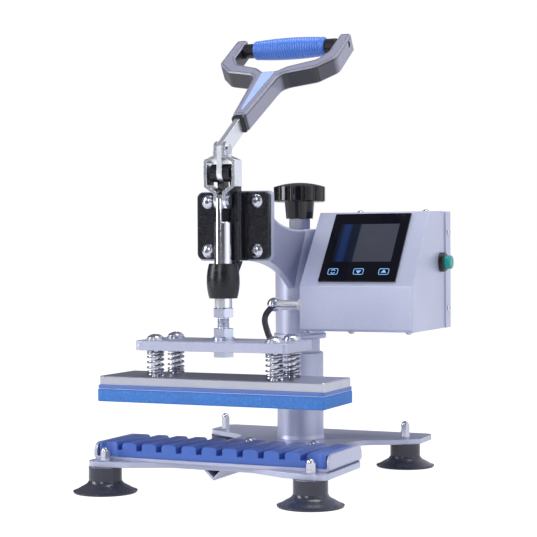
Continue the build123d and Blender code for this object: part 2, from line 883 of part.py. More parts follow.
def strap_side(sign):
    """One stamped link: it bows out round the ears and comes in again at both ends."""
    t = strap_thickness
    inner = [
        (lug_inner, plunger_pin_z - strap_half_width),
        (lug_inner, knee_bottom),
        (strap_bulge, bulge_bottom),
        (strap_bulge, bulge_top),
        (lug_inner, knee_top),
        (lug_inner, handle_pin_z + strap_half_width),
    ]
    upper = t * bend_shift(knee_top - bulge_top)
    lower = t * bend_shift(bulge_bottom - knee_bottom)
    outer = [
        (lug_inner + t, handle_pin_z + strap_half_width),
        (lug_inner + t, knee_top + upper),
        (strap_bulge + t, bulge_top + upper),
        (strap_bulge + t, bulge_bottom - lower),
        (lug_inner + t, knee_bottom - lower),
        (lug_inner + t, plunger_pin_z - strap_half_width),
    ]
    profile = make_face(Polyline(*inner, *outer, close=True))
    knees = profile.vertices().filter_by(lambda v: plunger_pin_z + 1 < v.Y < handle_pin_z - 1)
    profile = fillet(knees, knee_round)
    bent = Plane.XZ * extrude(profile, strap_half_width, both=True)
    ends = Pos(0, handle_pin_z) * Circle(strap_half_width)
    ends += Pos(0, plunger_pin_z) * Circle(strap_half_width)
    ends += Pos(0, (handle_pin_z + plunger_pin_z) / 2) * Rectangle(2 * strap_half_width, link_length)
    reach = strap_bulge + 2 * t
    bent &= Plane.YZ * extrude(ends, reach)
    bent -= cross_rod(0, handle_pin_z, 0, reach, pin_radius + pin_fit)
    bent -= cross_rod(0, plunger_pin_z, 0, reach, pin_radius + seat_gap)
    return bent if sign > 0 else mirror(bent, Plane.YZ)


def link_rivets():
    """Short rivets at the foot of the links; the plunger's own pin lies between them."""
    rivets = []
    for sign in (-1, 1):
        ends = sorted((sign * lug_inner, sign * (lug_inner + strap_thickness + pin_head_height)))
        stem = cross_rod(0, plunger_pin_z, *ends, pin_radius)
        rim = sorted((sign * (lug_inner + strap_thickness), ends[1] if sign > 0 else ends[0]))
        rivets.append(stem + cross_rod(0, plunger_pin_z, *rim, pin_head_radius))
    return rivets


def handle_plane():
    """The plane of the fork, with its origin on the link pin and its Y axis up the stem."""
    lean = radians(handle_lean)
    return Plane((0, 0, handle_pin_z), x_dir=(1, 0, 0), z_dir=(0, -cos(lean), sin(lean)))


def up_stem(distance, lift=0.0):
    """The Y and Z of a place on the middle of the handle."""
    lean = radians(handle_lean)
    y = distance * sin(lean) - lift * cos(lean)
    return y, handle_pin_z + distance * cos(lean) + lift * sin(lean)


def handle_blade():
    """The steel lever: a lug at the pivot, a short crank, then the leaning blade."""
    crank_part = Pos(0, (pivot_z + handle_pin_z) / 2) * Rectangle(blade_width, crank)
    lug = Pos(0, pivot_z) * Circle(lug_radius)
    knee = Pos(0, handle_pin_z) * Circle(blade_width / 2)
    blade = Rectangle(blade_width, blade_reach, align=(Align.CENTER, Align.MIN))
    blade = Pos(0, handle_pin_z) * Rot(0, 0, -handle_lean) * blade
    lever = Plane.YZ * extrude(crank_part + lug + knee + blade, blade_half, both=True)
    for z in (pivot_z, handle_pin_z):
        lever -= cross_rod(0, z, -blade_half, blade_half, pin_radius + seat_gap)
    return lever


def fork_outline():
    """The fork seen square on, drawn as its right half: stem, throat and one side."""
    inside = fork_half_width - fork_wall
    stem_top = stem_start + stem_length
    points = [
        (0, stem_start),
        (stem_mouth_half, stem_start),
        (stem_throat_half, stem_top),
        (shoulder_half, stem_top + shoulder_rise),
        (fork_half_width, stem_top + shoulder_rise + shoulder_fall),
        (fork_half_width, fork_end),
        (inside, fork_end),
        (inside, stem_top + shoulder_rise + shoulder_fall + fork_wall),
        (inside - crotch_step, stem_top + crotch_height),
        (crotch_half, stem_top + crotch_rise),
        (throat_half, stem_top + throat_rise),
        (0, stem_top + throat_rise),
    ]
    small, bend, big = fork_small_round, fork_bend_round, fork_big_round
    rounds = [small, big, bend, big, fork_end_round, small, bend, fork_crotch_round, fork_crotch_round, small]
    half = FilletPolyline(*points, radius=rounds)
    return make_face(half + mirror(half, Plane.YZ))


def fork():
    plane = handle_plane()
    body = Pos(0, 0, -fork_under) * extrude(fork_outline(), fork_over + fork_under)
    body = chamfer(body.faces().sort_by(Axis.Z)[-1].edges(), fork_edge)
    body = chamfer(body.faces().sort_by(Axis.Z)[0].edges(), fork_edge)
    outer_line = offset(fork_outline(), -fork_line_inset)
    line = outer_line - offset(fork_outline(), -fork_line_inset - fork_line_width)
    body -= Pos(0, 0, fork_over - fork_line_depth) * extrude(line, fork_line_depth)
    body -= stem_slot()
    body -= Pos(0, 0, fork_over - inlay_depth) * extrude(inlay_outline(seat_gap), inlay_depth)
    body -= Plane((-fork_half_width, grip_place, grip_offset), z_dir=(1, 0, 0)) * extrude(
        Circle(rod_radius + seat_gap), 2 * fork_half_width
    )
    return plane * body


def stem_slot():
    """The slot that the blade fills, in the fork's own plane."""
    deep = blade_reach + seat_gap - stem_start
    slot = Box(blade_thickness + 2 * seat_gap, deep, blade_width + 2 * seat_gap)
    return Pos(0, stem_start + deep / 2, 0) * slot


def inlay_outline(grow):
    low = stem_start + inlay_start
    high = stem_start + inlay_end
    bottom = [(-inlay_low_half, low), (inlay_low_half, low)]
    top = [(inlay_high_half, high), (-inlay_high_half, high)]
    face = make_face(Polyline(*bottom, *top, close=True))
    face = fillet(face.vertices(), inlay_corner)
    return offset(face, grow)


def inlay():
    body = Pos(0, 0, fork_over - inlay_depth) * extrude(inlay_outline(0), inlay_depth + inlay_proud)
    return handle_plane() * body


def mouth_plug():
    """The black end of the stem, fitted round the blade."""
    outer = Rectangle(plug_width, fork_over + fork_under - plug_drop)
    outer = fillet(outer.vertices(), plug_corner)
    hole = Rectangle(blade_thickness + 2 * seat_gap, blade_width + 2 * seat_gap)
    middle = (fork_over - fork_under) / 2
    ring = Pos(0, middle) * outer - hole
    place = Plane((0, stem_start, 0), x_dir=(1, 0, 0), z_dir=(0, -1, 0))
    return handle_plane() * (place * extrude(ring, plug_length))


def grip_axis():
    y, z = up_stem(grip_place, grip_offset)
    return Plane((0, y, z), x_dir=(0, 1, 0), z_dir=(1, 0, 0))


def grip_pieces():
    """The grip: blue barrel, a black collar at each end, and the rod through them."""
    axis = grip_axis()
    line = Polyline((0, -grip_half_length), (grip_end_radius, -grip_half_length))
    belly = ThreePointArc(
        (grip_end_radius, -grip_half_length), (grip_radius, 0), (grip_end_radius, grip_half_length)
    )
    close = Polyline((grip_end_radius, grip_half_length), (0, grip_half_length), (0, -grip_half_length))
    barrel = revolve(Plane.XZ * make_face(line + belly + close), Axis.Z)
    ends = barrel.edges().filter_by(GeomType.CIRCLE)
    bore = rod_radius + seat_gap
    barrel = fillet(ends, fork_edge) - rod(0, 0, -grip_half_length, grip_half_length, bore)
    save("grip_barrel", axis * barrel)
    inside = fork_half_width - fork_wall
    collar = rod(0, 0, grip_half_length, inside - free_gap, grip_collar_radius)
    collar = chamfer(collar.edges().filter_by(GeomType.CIRCLE), 0.7)
    collar -= rod(0, 0, grip_half_length, inside, bore)
    save("grip_collars", axis * collar, axis * mirror(collar, Plane.XY))
    end = fork_half_width - 1
    save("grip_rod", axis * rod(0, 0, -end, end, rod_radius))


def plunger():
    """The guided rod with a tongue at its top and a threaded bore for the head bolt."""
    body = rod(0, 0, plunger_bottom, plunger_shoulder, plunger_radius)
    body = chamfer(body.edges().filter_by(GeomType.CIRCLE), plunger_edge)
    width = 2 * (strap_half_width + tongue_margin)
    tongue = Pos(0, plunger_pin_z) * Circle(width / 2)
    low = plunger_shoulder - 1
    tongue += Pos(0, (low + plunger_pin_z) / 2) * Rectangle(width, plunger_pin_z - low)
    solid = Plane.YZ * extrude(tongue, blade_half, both=True)
    solid &= rod(0, 0, low, plunger_pin_z + width, plunger_radius)
    body += solid
    body -= cross_rod(0, plunger_pin_z, -blade_half, blade_half, pin_radius + seat_gap)
    bore_top = plunger_bottom + head_bolt_engagement
    return body - rod(0, 0, plunger_bottom, bore_top, head_bolt_radius + seat_gap)


def head_bolt():
    """The bolt that carries the plate: head below, shank up into the plunger."""
    head = extrude(hexagon(head_nut_flats), head_bolt_head)
    top = plunger_bottom + head_bolt_engagement - free_gap
    shank = rod(0, 0, pressure_bottom, top, head_bolt_radius)
    return Pos(0, 0, pressure_bottom - head_bolt_head) * head + shank


def head_hardware():
    bore = head_bolt_radius + seat_gap
    washer_top = pressure_top + washer_height
    washer = rod(0, 0, pressure_top, washer_top, washer_radius)
    washer -= rod(0, 0, pressure_top, washer_top, bore)
    lower = nut(0, 0, washer_top, head_nut_flats, head_nut_height, bore)
    upper = nut(0, 0, plunger_bottom - head_nut_height, head_nut_flats, head_nut_height, bore)
    save("head_nuts", washer, lower, upper)


def pressure_plate():
    outline = fillet(Rectangle(pressure_width, pressure_depth).vertices(), pressure_corner)
    plate = Pos(0, 0, pressure_bottom) * extrude(outline, pressure_thickness)
    plate = chamfer(plate.faces().sort_by(Axis.Z)[-1].edges(), plate_edge)
    plate -= rod(0, 0, pressure_bottom, pressure_top, head_bolt_radius + seat_gap)
    for x, y in at_springs():
        plate -= rod(x, y, pressure_bottom, pressure_top, bolt_radius + bolt_clearance)
    return plate


def spring_bolts():
    bolts, washers = [], []
    seat = pressure_top + spring_washer_height
    for x, y in at_springs():
        head = Pos(x, y, seat) * round_head(bolt_head_radius, bolt_head_height)
        head -= Pos(x, y, seat + bolt_head_height) * driver_cross(bolt_head_radius, socket_depth)
        bolts.append(head + rod(x, y, platen_bottom + bolt_floor, seat, bolt_radius))
        ring = rod(x, y, pressure_top, seat, spring_washer_radius)
        washers.append(ring - rod(x, y, pressure_top, seat, bolt_radius + seat_gap))
    save("spring_bolts", *bolts, *washers)


def helix_point(turns, radius, low, pitch):
    angle = 2 * pi * turns
    return Vector(radius * cos(angle), radius * sin(angle), low + pitch * turns)


def helix_heading(turns, radius, pitch):
    angle = 2 * pi * turns
    rise = pitch / (2 * pi)
    return Vector(-radius * sin(angle), radius * cos(angle), rise).normalized()


def spring_path(radius, low, pitch, turns):
    """The curl as pairs of tangent arcs, one pair to a quarter turn."""
    quarters = round(turns * 4)
    edges = []
    for step in range(quarters):
        start = helix_point(step / 4, radius, low, pitch)
        finish = helix_point((step + 1) / 4, radius, low, pitch)
        out = helix_heading(step / 4, radius, pitch)
        into = helix_heading((step + 1) / 4, radius, pitch)
        chord = finish - start
        a = 2 * (out.dot(into) - 1)
        b = -2 * chord.dot(out + into)
        c = chord.dot(chord)
        reach = (-b - (b * b - 4 * a * c) ** 0.5) / (2 * a)
        if reach < 0:
            reach = (-b + (b * b - 4 * a * c) ** 0.5) / (2 * a)
        first = start + out * reach
        second = finish - into * reach
        middle = (first + second) * 0.5
        along = (second - first).normalized()
        edges.append(TangentArc(start, middle, tangent=out))
        edges.append(TangentArc(middle, finish, tangent=along))
    return edges


def least_curl_gap(radius, pitch, turns, wire):
    """Least gap between the wire and itself, measured on points half a turn or more apart."""
    steps = 48
    places = [helix_point(i / steps, radius, 0, pitch) for i in range(round(turns * steps) + 1)]
    least = min(
        (places[j] - places[i]).length
        for i in range(len(places))
        for j in range(i + steps // 2, len(places))
    )
    return least - 2 * wire


def springs():
    low = platen_top + spring_seat_gap + wire_radius
    high = pressure_bottom - spring_seat_gap - wire_radius
    pitch = (high - low) / spring_turns
    edges = spring_path(spring_radius, low, pitch, spring_turns)
    path = Wire(edges)
    start = Plane(path @ 0, z_dir=path % 0)
    coil = sweep(start * Circle(wire_radius), path=path)
    gap = least_curl_gap(spring_radius, pitch, spring_turns, wire_radius)
    print("spring gap to itself", round(gap, 2))
    print("spring volume", round(coil.volume, 1), "of", round(path.length * pi * wire_radius**2, 1))
    names = ("front_left", "front_right", "rear_left", "rear_right")
    for name, (x, y) in zip(names, at_springs()):
        save("spring_" + name, Pos(x, y, 0) * coil)


def platen():
    """The aluminium heating platen with threaded holes for the spring bolts."""
    outline = fillet(Rectangle(platen_width, platen_depth).vertices(), platen_corner)
    body = Pos(0, 0, platen_bottom) * extrude(outline, platen_thickness)
    body = chamfer(body.faces().sort_by(Axis.Z)[-1].edges(), platen_edge)
    for x, y in at_springs():
        body -= rod(x, y, platen_bottom + bolt_floor, platen_top, bolt_radius + seat_gap)
    return body


def layer(low, high):
    """One sheet of the stack under the platen."""
    outline = fillet(Rectangle(backing_width, backing_depth).vertices(), layer_corner)
    return Pos(0, 0, low) * extrude(outline, high - low)


def terminal_box():
    """The cover over the heater terminals, with the sleeve that takes the cable."""
    low = platen_bottom + terminal_lift
    high = low + terminal_height
    front = platen_depth / 2
    body = block(
        terminal_x - terminal_width / 2,
        terminal_x + terminal_width / 2,
        front,
        front + terminal_depth,
        low,
        high,
    )
    body = fillet(body.edges().filter_by(Axis.Z).group_by(Axis.Y)[-1], terminal_corner)
    body = fillet(body.faces().sort_by(Axis.Z)[-1].edges().group_by(Axis.Y)[-1], terminal_edge)
    sleeve = rod(terminal_x, terminal_y, high - terminal_edge, high + sleeve_height, sleeve_radius)
    return body + sleeve


def side_outline():
    """The control box seen from its right: upright nose, sloping face, flat top."""
    return [
        (box_front, box_bottom),
        (box_rear, box_bottom),
        (box_rear, box_top),
        (box_crest, box_top),
        (box_front, box_kink),
    ]


def side_slab(outline, left, right):
    face = make_face(Polyline(*outline, close=True))
    return Plane((left, 0, 0), x_dir=(0, 1, 0), z_dir=(1, 0, 0)) * extrude(face, right - left)


def slope_plane():
    """The sloping face: X to the right, Y up the slope, Z outward."""
    rise = Vector(0, box_crest - box_front, box_top - box_kink).normalized()
    outward = Vector(1, 0, 0).cross(rise)
    return Plane((0, box_front, box_kink), x_dir=(1, 0, 0), z_dir=outward)


def slope_slab(left, right, start, end, low, high):
    size = (right - left, end - start, high - low)
    slab = Pos((left + right) / 2, (start + end) / 2, (low + high) / 2) * Box(*size)
    return slope_plane() * slab


def box_shell():
    """Bent sheet open at the back, with the holes for what is mounted on it."""
    outer = side_slab(side_outline(), box_left, box_right)
    bends = outer.edges().filter_by(Axis.X).filter_by(lambda e: e.center().Y < box_crest + 1)
    outer = fillet(bends, box_bend)
    sheet = box_sheet
    slope = hypot(box_crest - box_front, box_top - box_kink)
    lean = (box_crest - box_front) / slope
    rise = (box_top - box_kink) / slope
    inner = [
        (box_front + sheet, box_bottom + sheet),
        (box_rear, box_bottom + sheet),
        (box_rear, box_top - sheet),
        (box_crest + sheet * (1 - lean) / rise, box_top - sheet),
        (box_front + sheet, box_kink - sheet * (1 - rise) / lean),
    ]
    shell = outer - side_slab(inner, box_left + sheet, box_right - sheet)
    shell -= slope_slab(window_left, window_right, window_start, window_end, -2 * sheet, 1)
    switch_hole = switch_body_radius + seat_gap
    shell -= cross_rod(switch_y, switch_z, box_right - sheet, box_right, switch_hole)
    gland_hole = gland_shaft_radius + seat_gap
    shell -= cross_rod(gland_y, gland_z, box_left, box_left + sheet, gland_hole)
    box_hole = box_screw_radius + seat_gap
    for y, z in box_screw_places():
        shell -= cross_rod(y, z, box_left, box_left + sheet, box_hole)
    small_hole = small_screw_radius + seat_gap
    for point, heading in cover_screw_places():
        shell -= Plane(point, z_dir=heading) * rod(0, 0, -4 * sheet, 4 * sheet, small_hole)
    for x, y in bottom_screw_places():
        shell -= rod(x, y, box_bottom, box_bottom + sheet, small_hole)
    return shell


def cover_screw_places():
    """Points on the outside of the cover's flanges, with the way each head faces."""
    y = box_rear - cover_screw_inset
    low = box_bottom + cover_screw_low
    high = box_top - cover_screw_high
    right = box_right + cover_sheet
    left = box_left - cover_sheet
    top = box_top + cover_sheet
    sides = [((right, y, low), (1, 0, 0)), ((right, y, high), (1, 0, 0))]
    sides += [((left, y, low), (-1, 0, 0)), ((left, y, high), (-1, 0, 0))]
    ends = (box_right - cover_screw_side, box_left + cover_screw_side)
    return sides + [((x, y, top), (0, 0, 1)) for x in ends]


def bottom_screw_places():
    inset = bottom_screw_front
    row = (box_left + cover_screw_inset, box_left + box_width * 0.45, box_right - inset)
    return [(x, box_front + inset) for x in row]


def rear_cover():
    """The back of the box with flanges that lap over its top and sides."""
    outer = block(
        box_left - cover_sheet,
        box_right + cover_sheet,
        box_rear - cover_flange,
        box_rear + cover_sheet,
        box_bottom,
        box_top + cover_sheet,
    )
    outer = fillet(outer.edges().filter_by(Axis.Y).group_by(Axis.Z)[-1], 1)
    inner = block(box_left, box_right, box_rear - cover_flange, box_rear, box_bottom, box_top)
    cover = outer - inner
    deep = 2 * cover_sheet
    for point, heading in cover_screw_places():
        cover -= Plane(point, z_dir=heading) * rod(0, 0, -deep, deep, small_screw_radius + seat_gap)
    return cover


def small_screw(point, heading, grip):
    head = round_head(small_head_radius, small_head_height)
    head -= Pos(0, 0, small_head_height) * driver_cross(small_head_radius, small_cross_depth)
    return Plane(point, z_dir=heading) * (head + rod(0, 0, -grip, 0, small_screw_radius))


def box_fasteners():
    grip = small_screw_grip
    cover = [small_screw(point, heading, grip + cover_sheet) for point, heading in cover_screw_places()]
    under = [small_screw((x, y, box_bottom), (0, 0, -1), grip) for x, y in bottom_screw_places()]
    save("box_screws", *cover, *under)
    inside = box_left + box_sheet
    mounts = []
    for y, z in box_screw_places():
        head = Plane((inside, y, z), z_dir=(1, 0, 0)) * round_head(mount_head_radius, mount_head_height)
        mounts.append(head + cross_rod(y, z, box_left - box_screw_grip, inside, box_screw_radius))
    save("box_mount_screws", *mounts)


def box_contents():
    """What shows through the glass and what works behind it."""
    save("glass_panel", slope_slab(glass_left, glass_right, glass_start, glass_end, 0, glass_thickness))
    across = (window_left + seat_gap, window_right - seat_gap)
    along = (window_start + seat_gap, window_end - seat_gap)
    save("display_module", slope_slab(*across, *along, -display_thickness, 0))
    m = board_margin
    board = (window_left - m, window_right + m, window_start - m, window_end + m)
    back = -display_thickness
    save("control_board", slope_slab(*board, back - board_thickness, back))
    x = box_left + box_width * relay_share
    y = box_rear - relay_depth - relay_back
    floor = box_bottom + box_sheet
    relay = block(x, x + relay_width, y, y + relay_depth, floor, floor + relay_height)
    relay = fillet(relay.edges().filter_by(Axis.Z), relay_corner)
    save("heater_relay", relay)


def power_switch():
    """A round switch: threaded body with a rim outside the box, and a button that travels."""
    rim = cross_rod(switch_y, switch_z, box_right, box_right + bezel_height, bezel_radius)
    rim = chamfer(rim.faces().sort_by(Axis.X)[-1].edges(), 1)
    inmost = box_right - switch_body_length
    barrel = cross_rod(switch_y, switch_z, inmost, box_right + 1, switch_body_radius)
    floor = box_right - button_travel - button_depth
    mouth = box_right + bezel_height
    cavity = cross_rod(switch_y, switch_z, floor, mouth, button_radius + free_gap)
    low = floor + button_travel + free_gap
    button = cross_rod(switch_y, switch_z, low, box_right + button_reach, button_radius)
    save("power_button", fillet(button.faces().sort_by(Axis.X)[-1].edges(), button_edge))
    inner = box_right - box_sheet
    ring = nut(0, 0, 0, switch_nut_flats, switch_nut_height, switch_body_radius + seat_gap)
    ring = Plane((inner, switch_y, switch_z), z_dir=(-1, 0, 0)) * ring
    save("switch_bezel", rim + barrel - cavity, ring)


def gland_ball_centre():
    shaft_end = box_left - gland_collar_length - gland_shaft_length
    return Vector(shaft_end - gland_ball_face + gland_ball_lap, gland_y, gland_z)


def gland():
    """The cable gland: collar on the box, chrome shaft, and the ball that the cable leaves."""
    collar_end = box_left - gland_collar_length
    shaft_end = collar_end - gland_shaft_length
    collar = cross_rod(gland_y, gland_z, collar_end, box_left, gland_collar_radius)
    collar = chamfer(collar.faces().sort_by(Axis.X)[0].edges(), 1)
    collar -= cross_rod(gland_y, gland_z, collar_end, box_left, gland_shaft_radius + seat_gap)
    inner = box_left + box_sheet + gland_tail
    shaft = cross_rod(gland_y, gland_z, shaft_end, inner, gland_shaft_radius)
    bore = cross_rod(gland_y, gland_z, shaft_end, inner, cable_radius + free_gap)
    save("cable_gland", collar, shaft - bore)
    centre = gland_ball_centre()
    ball = Pos(*centre) * Sphere(gland_ball_radius)
    ball -= cross_rod(gland_y, gland_z, shaft_end, shaft_end + 3 * gland_ball_radius, 3 * gland_ball_radius)
    heading = cable_heading()
    flat = Plane(centre + heading * gland_ball_face, z_dir=heading)
    ball -= flat * extrude(Circle(gland_ball_radius), gland_ball_radius)
    save("gland_ball", ball)


def cable_heading():
    """The way the cable leaves the ball: forward, down and a little to the left."""
    return Vector(-0.3, -0.75, -0.59).normalized()


def cable_route():
    """The heater cable from the ball to the sleeve on the platen."""
    start = gland_ball_centre() + cable_heading() * gland_ball_face
    second = start + cable_heading() * cable_lead
    sleeve_top = platen_bottom + terminal_lift + terminal_height + sleeve_height
    last = Vector(terminal_x, terminal_y, sleeve_top)
    above = last + Vector(0, 0, cable_drop)
    way = above - second
    between = [second + Vector(way.X * x, way.Y * y, way.Z * z) for x, y, z in cable_shares]
    return [start, second, *between, above, last]


def heater_cable():
    points = cable_route()
    radii = []
    for before, here, after in zip(points, points[1:], points[2:]):
        turn = (here - before).get_angle(after - here)
        shorter = min((here - before).length, (after - here).length)
        radii.append(0.45 * shorter / tan(radians(turn) / 2))
    print("cable radii", [round(r, 1) for r in radii])
    path = FilletPolyline(*points, radius=radii)
    start = Plane(path @ 0, z_dir=path % 0)
    tube = sweep(start * Circle(cable_radius), path=path)
    print("cable length", round(path.length, 1))
    print("cable volume", round(tube.volume, 1), "of", round(path.length * pi * cable_radius**2, 1))
    return tube


def stroke():
    """How far the plunger comes down as the handle goes over."""
    turn = radians(handle_swing)
    drop = crank * (1 - cos(turn))
    lean = (link_length**2 - (crank * sin(turn)) ** 2) ** 0.5
    return drop - (link_length - lean), asin(crank * sin(turn) / link_length)


feet()
save("base_plate", base_plate())
save("stiffener_rail", stiffener_rail())
deck_bolts()
save("tray", tray())
tray_screws()
save("pen_mat", pen_mat())
save("column_tube", column_tube())
save("post", post())
save("arm_casting", arm_casting())
save("height_screw", height_screw())
save("lock_nut", lock_nut())
save("knob", knob())
save("clamp_body", clamp_body())
save("clamp_screws", *clamp_screws())
save("pivot_pin", side_pin(pivot_z, lug_inner + ear_thickness + pin_head_height))
save("handle_pin", side_pin(handle_pin_z, lug_inner + strap_thickness + pin_head_height))
save("link_left", strap_side(-1))
save("link_right", strap_side(1))
save("link_rivets", *link_rivets())
save("handle_blade", handle_blade())
save("handle_fork", fork())
save("handle_inlay", inlay())
save("mouth_plug", mouth_plug())
grip_pieces()
save("plunger", plunger())
save("plunger_pin", cross_rod(0, plunger_pin_z, -blade_half, blade_half, pin_radius))
save("head_bolt", head_bolt())
head_hardware()
save("pressure_plate", pressure_plate())
spring_bolts()
springs()
save("heating_platen", platen())
save("platen_backing", layer(backing_bottom, platen_bottom))
save("light_film", layer(film_bottom, backing_bottom))
save("press_pad", layer(pad_low, film_bottom))
save("terminal_box", terminal_box())
save("box_shell", box_shell())
save("rear_cover", rear_cover())
box_fasteners()
box_contents()
power_switch()
gland()
save("heater_cable", heater_cable())
fall, tilt = stroke()
print("plunger stroke", round(fall, 3), "link angle at the end", round(tilt / pi * 180, 3))
print("pad above mat when pressed", round(pad_low - fall - mat_top, 2))
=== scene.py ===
# %% [markdown]
# A bench press that heats pen barrels, dressed for a picture. The press itself comes packed:
# every rigid piece already has its real shape and its place. This lesson gives each one its
# finish, and models what a solid can't show well: rubber, foam, springs, the ribbed grip and
# the heater cable.

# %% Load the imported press
import math

import bmesh
import bpy
from mathutils import Matrix, Vector


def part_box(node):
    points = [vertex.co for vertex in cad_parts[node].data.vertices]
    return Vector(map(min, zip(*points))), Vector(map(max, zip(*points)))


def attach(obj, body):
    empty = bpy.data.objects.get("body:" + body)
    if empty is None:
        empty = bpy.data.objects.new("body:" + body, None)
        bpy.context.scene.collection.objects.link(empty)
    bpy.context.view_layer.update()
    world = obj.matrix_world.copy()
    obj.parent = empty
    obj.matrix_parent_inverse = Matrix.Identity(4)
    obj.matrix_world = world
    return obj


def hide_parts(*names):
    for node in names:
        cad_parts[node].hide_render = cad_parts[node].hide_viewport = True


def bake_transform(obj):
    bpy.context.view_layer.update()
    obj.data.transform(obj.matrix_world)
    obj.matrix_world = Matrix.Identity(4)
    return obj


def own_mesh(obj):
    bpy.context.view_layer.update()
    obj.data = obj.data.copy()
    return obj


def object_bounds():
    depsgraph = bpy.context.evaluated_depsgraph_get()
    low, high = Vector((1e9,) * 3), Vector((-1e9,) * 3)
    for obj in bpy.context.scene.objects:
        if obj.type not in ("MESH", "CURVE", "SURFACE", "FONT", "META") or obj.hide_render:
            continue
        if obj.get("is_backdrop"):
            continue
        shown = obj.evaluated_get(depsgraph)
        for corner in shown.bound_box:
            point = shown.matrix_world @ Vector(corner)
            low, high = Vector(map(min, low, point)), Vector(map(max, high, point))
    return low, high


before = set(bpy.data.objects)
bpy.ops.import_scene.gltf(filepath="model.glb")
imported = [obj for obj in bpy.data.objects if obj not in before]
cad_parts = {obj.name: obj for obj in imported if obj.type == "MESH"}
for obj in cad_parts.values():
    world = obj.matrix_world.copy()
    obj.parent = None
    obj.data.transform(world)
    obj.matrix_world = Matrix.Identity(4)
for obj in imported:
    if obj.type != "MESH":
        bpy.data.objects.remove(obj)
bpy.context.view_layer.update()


# %% [markdown]
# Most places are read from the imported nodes. The plunger stands upright, so the middle of its
# box is the axis that everything at the front of the press is measured from.

# %% Places read from the frame
MM = 0.001


def middle(node):
    low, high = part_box(node)
    return (low + high) / 2


plunger_axis = Vector((middle("plunger").x, middle("plunger").y, 0))
print("plunger axis at", [round(v, 5) for v in plunger_axis])


# %% [markdown]
# The camera stands about 1.3 metres away, to the right of the press and level with its middle.
# A long lens keeps the uprights nearly parallel. Its numbers come from matching the corners of
# the plates, the feet and the box to the picture. Its three turns are written as three axes,
# because a matrix of axes leaves no doubt about the order of the turns.

# %% Camera
PICTURE_WIDTH = 537
FOCAL_PIXELS = 1457.06
SENSOR = 36.0
CAMERA_FROM_AXIS = (565.68, -1181.9, 215.16)
yaw = math.radians(23.794)
pitch = math.radians(-0.620)
roll = math.radians(-0.273)

forward = Vector(
    (-math.sin(yaw) * math.cos(pitch), math.cos(yaw) * math.cos(pitch), math.sin(pitch))
)
level = Vector((math.cos(yaw), math.sin(yaw), 0))
upright = level.cross(forward)
right = level * math.cos(roll) + upright * math.sin(roll)
up = upright * math.cos(roll) - level * math.sin(roll)

camera_data = bpy.data.cameras.new("picture_camera")
camera_data.sensor_width = SENSOR
camera_data.lens = SENSOR * FOCAL_PIXELS / PICTURE_WIDTH
camera = bpy.data.objects.new("picture_camera", camera_data)
bpy.context.scene.collection.objects.link(camera)
camera_place = plunger_axis + Vector(CAMERA_FROM_AXIS) * MM
turn = Matrix((right, up, -forward)).transposed()
camera.matrix_world = Matrix.Translation(camera_place) @ turn.to_4x4()
bpy.context.scene.camera = camera
print("lens", round(camera_data.lens, 2), "mm")


# %% [markdown]
# Finishes are written as arithmetic. A small class wraps a socket, so that an expression such
# as 1 - mask adds its own Math nodes, and one method makes every other kind of node from its
# type, its settings and its sockets. A finish then reads like the sentence that describes it.

# %% Shader arithmetic
class Value:
    """A number on a socket, which takes part in Python arithmetic."""

    def __init__(self, nodes, socket):
        self.nodes = nodes
        self.socket = socket

    def _math(self, operation, first, second=0.0):
        return self.nodes.node("ShaderNodeMath", {"operation": operation}, {0: first, 1: second})

    def __add__(self, other):
        return self._math("ADD", self, other)

    def __radd__(self, other):
        return self._math("ADD", other, self)

    def __sub__(self, other):
        return self._math("SUBTRACT", self, other)

    def __rsub__(self, other):
        return self._math("SUBTRACT", other, self)

    def __mul__(self, other):
        return self._math("MULTIPLY", self, other)

    def __rmul__(self, other):
        return self._math("MULTIPLY", other, self)

    def above(self, limit):
        return self._math("GREATER_THAN", self, limit)

    def below(self, limit):
        return self._math("LESS_THAN", self, limit)

    def size(self):
        return self._math("ABSOLUTE", self)


class Nodes:
    """Writes nodes into the tree of a material or a world, one call for each node."""

    def __init__(self, holder):
        holder.use_nodes = True
        self.tree = holder.node_tree
        self.tree.nodes.clear()

    def put(self, socket, value):
        if isinstance(value, Value):
            self.tree.links.new(value.socket, socket)
        elif isinstance(value, tuple) and len(value) == 3 and socket.type == "RGBA":
            socket.default_value = (*value, 1.0)
        else:
            socket.default_value = value

    def node(self, kind, settings, sockets, output=0):
        made = self.tree.nodes.new(kind)
        for name, value in settings.items():
            if name == "stops":
                ramp = made.color_ramp.elements
                while len(ramp) < len(value):
                    ramp.new(0.5)
                for element, (place, colour) in zip(ramp, value):
                    element.position = place
                    element.color = (*colour, 1.0)
            else:
                setattr(made, name, value)
        for name, value in sockets.items():
            self.put(made.inputs[name], value)
        return Value(self, made.outputs[output]) if made.outputs else made

    def dot(self, vector, direction):
        settings = {"operation": "DOT_PRODUCT"}
        return self.node("ShaderNodeVectorMath", settings, {0: vector, 1: direction}, "Value")

    def tint(self, factor, first, second):
        settings = {"data_type": "RGBA"}
        return self.node("ShaderNodeMix", settings, {0: factor, 6: first, 7: second}, 2)

    def ramp(self, factor, stops):
        return self.node("ShaderNodeValToRGB", {"stops": stops}, {0: factor})

    def ray(self, kind):
        return self.node("ShaderNodeLightPath", {}, {}, kind)


